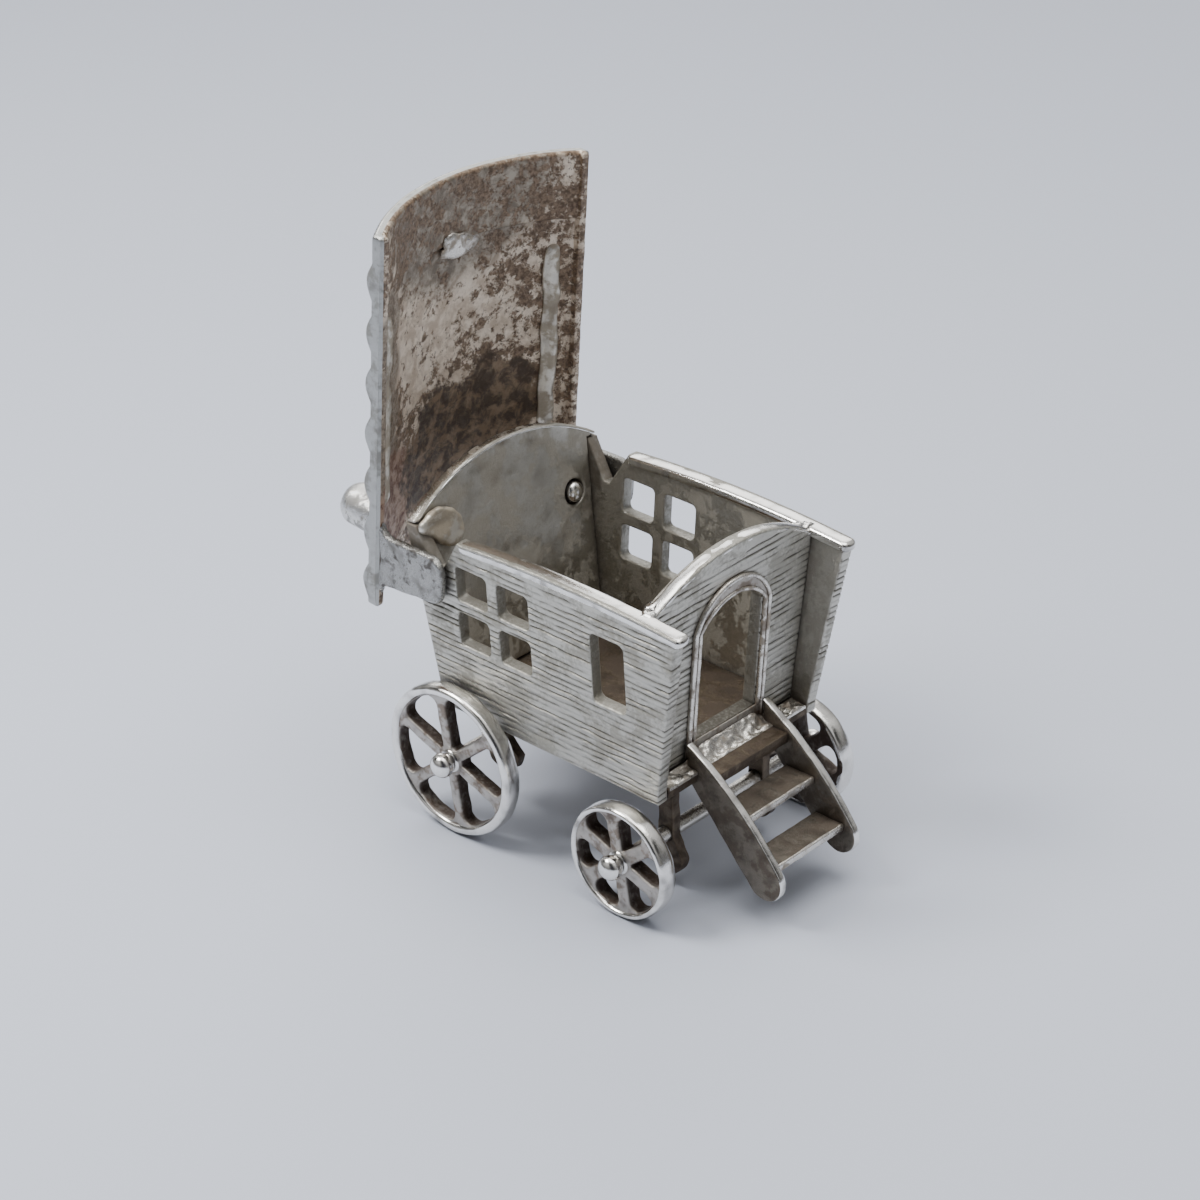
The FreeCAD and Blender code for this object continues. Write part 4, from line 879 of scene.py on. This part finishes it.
def wheels():
    """Cast wheels: round rim, hub and a web with six rounded openings."""
    upright = axes((0, 0, 0), Z, X, Y)
    for end, x, z, deep, width, back, _, _ in AXLES:
        inner, middle = z - deep, z - deep / 2
        web_loops = [arc((0, 0), inner + 0.3, 0, 355, 71)] + spoke_holes(inner, width)
        section = [(0.5 * b, middle + deep / 2 * a) for a, b in oval(1, 1, 2.5, 24)]
        barrel = [(back, HUB_IN), (back, 0.6), (0.2, 0.66), (SPOKE_FRONT, 0.62), (HUB_OUT - 0.02, 0.5),
                  (HUB_OUT, HUB_IN)]
        spin = Matrix.Rotation(-radians(180 / SPOKES - SPOKE_SLANT), 4, "Z")
        for name, sign in RIGHT_LEFT:
            web = roughened(plate(web_loops, back, SPOKE_FRONT, 0.11, 3), 0.03, 1.8, x + sign, cells=0.25)
            # Darker towards the web's back, in the openings' walls too.
            web.darkened(lambda p: min(1.0, max(0.0, (SPOKE_FRONT - p.z) / 0.14)))
            web.stuff = [1] * len(web.faces)
            rim = roughened(turned(section, upright, 120, closed=True), 0.03, 0.9, 3 * sign + x)
            rim.marked(lambda p: sqrt(p.x ** 2 + p.y ** 2) < inner + 0.10 * deep)
            # The rim's inner faces are darkened.
            for face, inward in zip(rim.faces, rim.stuff):
                for i in face:
                    rim.dirt[i] = 0.85 if inward else rim.dirt[i]
            shape = rim.add(web).add(turned(barrel, upright, 40, closed=True))
            node = f"wheel_{end}_{name}"
            make(node + "_cast", shape.moved(upright_axes(x, TRACK, z, sign) @ spin), node,
                 ["polished", "spoke"], node, sharp=50)


# The lid

EAVE_ROWS, CROWN_ROWS, RIM_ROUND, RIM_ROWS = 5, 70, 0.2, 5


def roof_top(across, lowered=0.0, inset=0.0):
    """Height of the roof's skin over the pivot."""
    return CROWN_CENTRE - lowered + sqrt((CROWN - inset) ** 2 - across ** 2)


def roof_section(lowered, ease):
    """Lines of the roof's section, outside and inside, shrunk by ease all round."""
    def line(inset, low):
        half, foot, radius = ROOF_HALF - inset, EAVE + ease, CROWN - inset
        edge = roof_top(half, low, inset)
        turns = [asin(half / radius) * (1 - 2 * i / CROWN_ROWS) for i in range(CROWN_ROWS + 1)]
        over = [(radius * sin(turn), CROWN_CENTRE - low + radius * cos(turn)) for turn in turns]
        right = [(half, foot + (edge - foot) * i / EAVE_ROWS) for i in range(EAVE_ROWS)]
        return right + over + [(-a, b) for a, b in reversed(right)]

    outer, inner = line(ease, 0.0), line(ROOF_THICK - ease, lowered)
    nick = min(0.12, 0.24 - ease)
    for side, move in ((outer, -nick), (inner, nick)):
        (right, low), (left, _) = side[0], side[-1]
        side[0] = (right + move, low)
        side[-1] = (left - move, low)
    return outer, inner


def roof_shell():
    soffit, slope, pitch = ROOF_FRONT - SOFFIT_LONG, 0.06, 0.24
    turns = [pi / 2 * i / RIM_ROWS for i in range(RIM_ROWS + 1)]
    rim = [(RIM_ROUND * (1 - cos(turn)), RIM_ROUND * (1 - sin(turn))) for turn in turns]
    middle = steps(ROOF_REAR + RIM_ROUND, soffit, pitch) + [soffit + slope * k for k in range(-2, 3)]
    middle += steps(soffit + 2 * slope, ROOF_FRONT - RIM_ROUND, pitch)
    rows = [(ROOF_REAR + a, ease) for a, ease in rim] + [(a, 0.0) for a in middle]
    rows += [(ROOF_FRONT - a, ease) for a, ease in reversed(rim)]
    points = []
    for ahead, ease in rows:
        share = min(1.0, max(0.0, (ahead - soffit + slope) / (2 * slope)))
        outer, inner = roof_section(SOFFIT_DEEP * share * share * (3 - 2 * share), ease)
        points += [Vector((ahead, b, a)) for a, b in outer + inner[::-1]]
    ring = len(points) // len(rows)
    last = ring // 2 - 1
    faces = grid(len(rows), ring)
    stuff = [1 if k >= last else 2 if k < EAVE_ROWS or k >= last - EAVE_ROWS else 0 for k in range(ring)]
    stuff *= len(rows) - 1
    for base in (0, (len(rows) - 1) * ring):
        faces += [(base + k, base + k + 1, base + ring - 2 - k, base + ring - 1 - k) for k in range(last)]
        stuff += [2] * last

    def work(bm, dirt):
        moves = []
        for point in bm.verts:
            inside = any(f.material_index == 1 for f in point.link_faces)
            where = point.co * 0.9
            height = noise.noise(where) + 0.6 * noise.noise(where * 2.7) + 0.3 * noise.noise(where * 6.1)
            moves.append((point, point.normal * (0.022 if inside else 0.012) * height))
        for point, move in moves:
            point.co += move

    shape = with_mesh(Shape(points, faces, None, stuff), work).moved(LID_AXES)
    make("roof_cast", shape, "roof", ["roof", "lining", "eave"], "roof_shell")


def cornice(name, sign):
    """Scalloped strip that stands up along an eave."""
    pitch, lift, pace, margin = 2.66, 0.50, 0.11, 0.03
    base, low, thick, edge = EAVE + ROOF_SIDE - 0.06, EAVE + 0.08, 0.175, 0.17
    long = ROOF_FRONT - ROOF_REAR
    count = int(long / pace)
    points = []
    for index in range(count + 1):
        ahead = ROOF_REAR + margin + (long - 2 * margin) * index / count
        t = ((ahead - ROOF_REAR) % pitch) / pitch
        top = base + lift * (0.5 - 0.5 * cos(2 * pi * t)) ** 0.72 * min(1.0, (ROOF_FRONT - ahead) / 0.9)
        half = thick * min(1.0, 0.25 + min(index, count - index) * 0.25)
        loop = [(half * cos(pi * k / 8), top - edge + edge * sin(pi * k / 8)) for k in range(9)]
        middle = (top + low) / 2
        loop += [(-half, middle), (-half, low + 0.05), (0, low), (half, low + 0.05), (half, middle)]
        points += [Vector((ahead, h, sign * (ROOF_HALF - 0.165) + a)) for a, h in loop]
    ring = len(loop)
    caps = [tuple(range(ring)), tuple(range(count * ring, (count + 1) * ring))]
    shape = roughened(Shape(points, grid(count + 1, ring) + caps), 0.018, 1.2, 60 + sign)
    make(f"cornice_{name}", shape.moved(LID_AXES), "roof", ["eave"], sharp=60)


def roof_ribs():
    """Low ribs along the inside of the roof, beside the eaves."""
    across, start, long, count = 5.6, 2.2, 10.0, 60
    for index, sign in enumerate((-1, 1)):
        height = roof_top(across, 0, ROOF_THICK) - 0.03
        path = [LID_AXES @ Vector((start + long * k / count, height, sign * (across + 0.05 * sin(k * 0.35))))
                for k in range(count + 1)]
        up = LID_AXES.to_3x3() @ Vector((0.0, -1.0, 0.45 * -sign))
        rib = roughened(swept(eased(path, 0.3), up, oval(0.44, 0.14, 2.0, 16), 0.4), 0.10, 0.9, 90 + sign)
        make(f"roof_rib_{index}", rib, "roof", ["rib"], sharp=80)


def roof_solder():
    """Patch inside the roof, under the hanging eye."""
    lump = Shape()
    for ahead, across, long, seed, amount in ((13.25, 0.55, 1.3, 5, 0.3), (13.6, 0.2, 0.75, 8, 0.35)):
        place = lid_place(ahead, across, roof_top(across, SOFFIT_DEEP, ROOF_THICK) - 0.02)
        lump.add(blob(place, (0.19, long, 0.5), seed, amount))
    make("roof_solder", lump, "roof", ["cast"], sharp=80)


def ears():
    end = arc((0.68, EAR_TIP + 0.9), 0.9, -90, 0, 14)
    hollow = arc((1.95, 1.7), 0.6, 180, 90, 6)
    heel = arc((0.3, EAR_TIP + 0.62), 0.62, -80, 0, 8)
    loop = [(-0.3, EAR_TIP)] + end + hollow + [(-x, y) for x, y in reversed(hollow)]
    loop += [(-x, y) for x, y in reversed(heel)]
    low = ROOF_HALF - EAR_INSET - EAR_THICK
    for name, sign in RIGHT_LEFT:
        shape = roughened(plate([loop], 0, EAR_THICK, 0.17, 4), 0.028, 1.6, 70 + sign, cells=0.18)
        shape.points = [Vector((p.x, p.y, sign * (low + p.z))) for p in shape.points]
        make(f"ear_{name}", shape.moved(LID_AXES), "roof", ["ear"], f"roof_ear_{name}", sharp=70)


def chimney():
    foot, dome, top = 3.0, 0.95, EAVE + ROOF_RISE + 1.45
    shoulder = top - dome
    profile = [(foot, CHIMNEY_RADIUS - 0.22)]
    profile += [(foot + (shoulder - foot) * i / 8, CHIMNEY_RADIUS) for i in range(8)]
    profile += [(shoulder + dome * sin(radians(a)), CHIMNEY_RADIUS * cos(radians(a)) ** 0.9)
                for a in range(0, 90, 9)]
    place = axes((CHIMNEY_AHEAD, 0, CHIMNEY_ACROSS), Y, X, Z)
    shape = turned(profile + [(top, 0)], place, 48)
    for point in shape.points:
        point.y = max(point.y, roof_top(point.z) - 0.15)
    shape = roughened(shape, 0.03, 1.2, 15).moved(LID_AXES)
    make("chimney_cast", shape, "roof", ["cap"], "chimney", sharp=60)


def hanging_eye():
    centre, foot_half = (EYE_AHEAD, EAVE + ROOF_RISE + EYE_STAND_OFF), 1.35
    loop = [(EYE_AHEAD + side * foot_half, centre[1] - EYE_RADIUS) for side in (-1, 1)]
    loop += arc(centre, EYE_RADIUS, -25, 205, 32)
    bore = arc(centre, EYE_BORE, 0, 350, 35)
    shape = plate([loop, bore], -EYE_THICK / 2, EYE_THICK / 2, 0.22, 4)
    shape = roughened(shape, 0.02, 1.5, 17, cells=0.3).moved(LID_AXES)
    make("eye_cast", shape, "roof", ["roof"], "hanging_eye", sharp=70)


# Solder

def sill_solder():
    """Uneven sheet of solder on the porch, piled up against the doorway's sill."""
    rows, columns, depth, half = 44, 130, 0.86, 4.95
    start = PORCH_START - 0.18
    points = []
    for layer in range(2):
        for i in range(rows + 1):
            for k in range(columns + 1):
                x, y = start + depth * i / rows, -half + 2 * half * k / columns
                edge = min(1.0, min(i, rows - i) / 5, min(k, columns - k) / 6)
                lump = noise.noise(Vector((x * 1.7, y * 1.3, 4.0)))
                lump += 0.55 * noise.noise(Vector((x * 4.3, y * 3.6, 1.0)))
                pile = 0.12 + 0.5 * min(1.0, max(0.0, 2.9 - abs(y) + 0.5 * lump))
                height = 0.05 + 0.17 * max(0.0, lump + 0.3) * edge
                height += pile * max(0.0, 1 - (x - start) / start) ** 1.4
                points.append(Vector((AXLE_X + x, y, FLOOR_TOP - 0.03 + (height if layer else -0.1))))
    step = columns + 1
    over = (rows + 1) * step
    sheet = grid(rows + 1, step, closed=False)
    faces = sheet + [tuple(i + over for i in face) for face in sheet]
    rim = list(range(columns)) + [i * step + columns for i in range(rows)]
    rim += [rows * step + k for k in range(columns, 0, -1)] + [i * step for i in range(rows, 0, -1)]
    faces += [(a, b, b + over, a + over) for a, b in zip(rim, rim[1:] + rim[:1])]
    return Shape(points, faces)


def solder():
    marks, joints = sill_solder(), Shape()
    for _, x, *_ in AXLES:
        for _, sign in RIGHT_LEFT:
            place = (AXLE_X + x, sign * HANGER_ACROSS, FLOOR_LOW - 0.05)
            marks.add(blob(place, (0.75, 0.5, 0.28), 11 + x + sign, 0.5))
    make("solder_marks", marks, "wagon", ["cast"], sharp=80)
    for _, sign in RIGHT_LEFT:
        joints.add(blob((AXLE_X + 0.66, sign * 5.6, RAIL + 0.02), (0.42, 0.5, 0.3), 21 + sign, 0.4))
        joints.add(blob((AXLE_X + 0.55, sign * 5.1, RAIL + 0.2), (0.33, 0.5, 0.26), 31 + sign, 0.4))
    make("arch_solder", joints, "wagon", ["polished"], sharp=80)


make_camera()
make_floor()
make_world()
make_light("key", (-80, -70, 150), 70, 0.26)
make_light("overhead", (10, 20, 210), 160, 0.30)
side_walls()
front_wall()
rear_wall()
floor_plate()
porch_steps()
hangers()
axles()
wheels()
roof_shell()
for name, sign in RIGHT_LEFT:
    cornice(name, sign)
roof_ribs()
roof_solder()
ears()
chimney()
hanging_eye()
solder()
for name, _ in RIGHT_LEFT:
    slots = nodes[f"hinge_pin_{name}"].data.materials
    slots.clear()
    slots.append(MATERIALS["polished"])
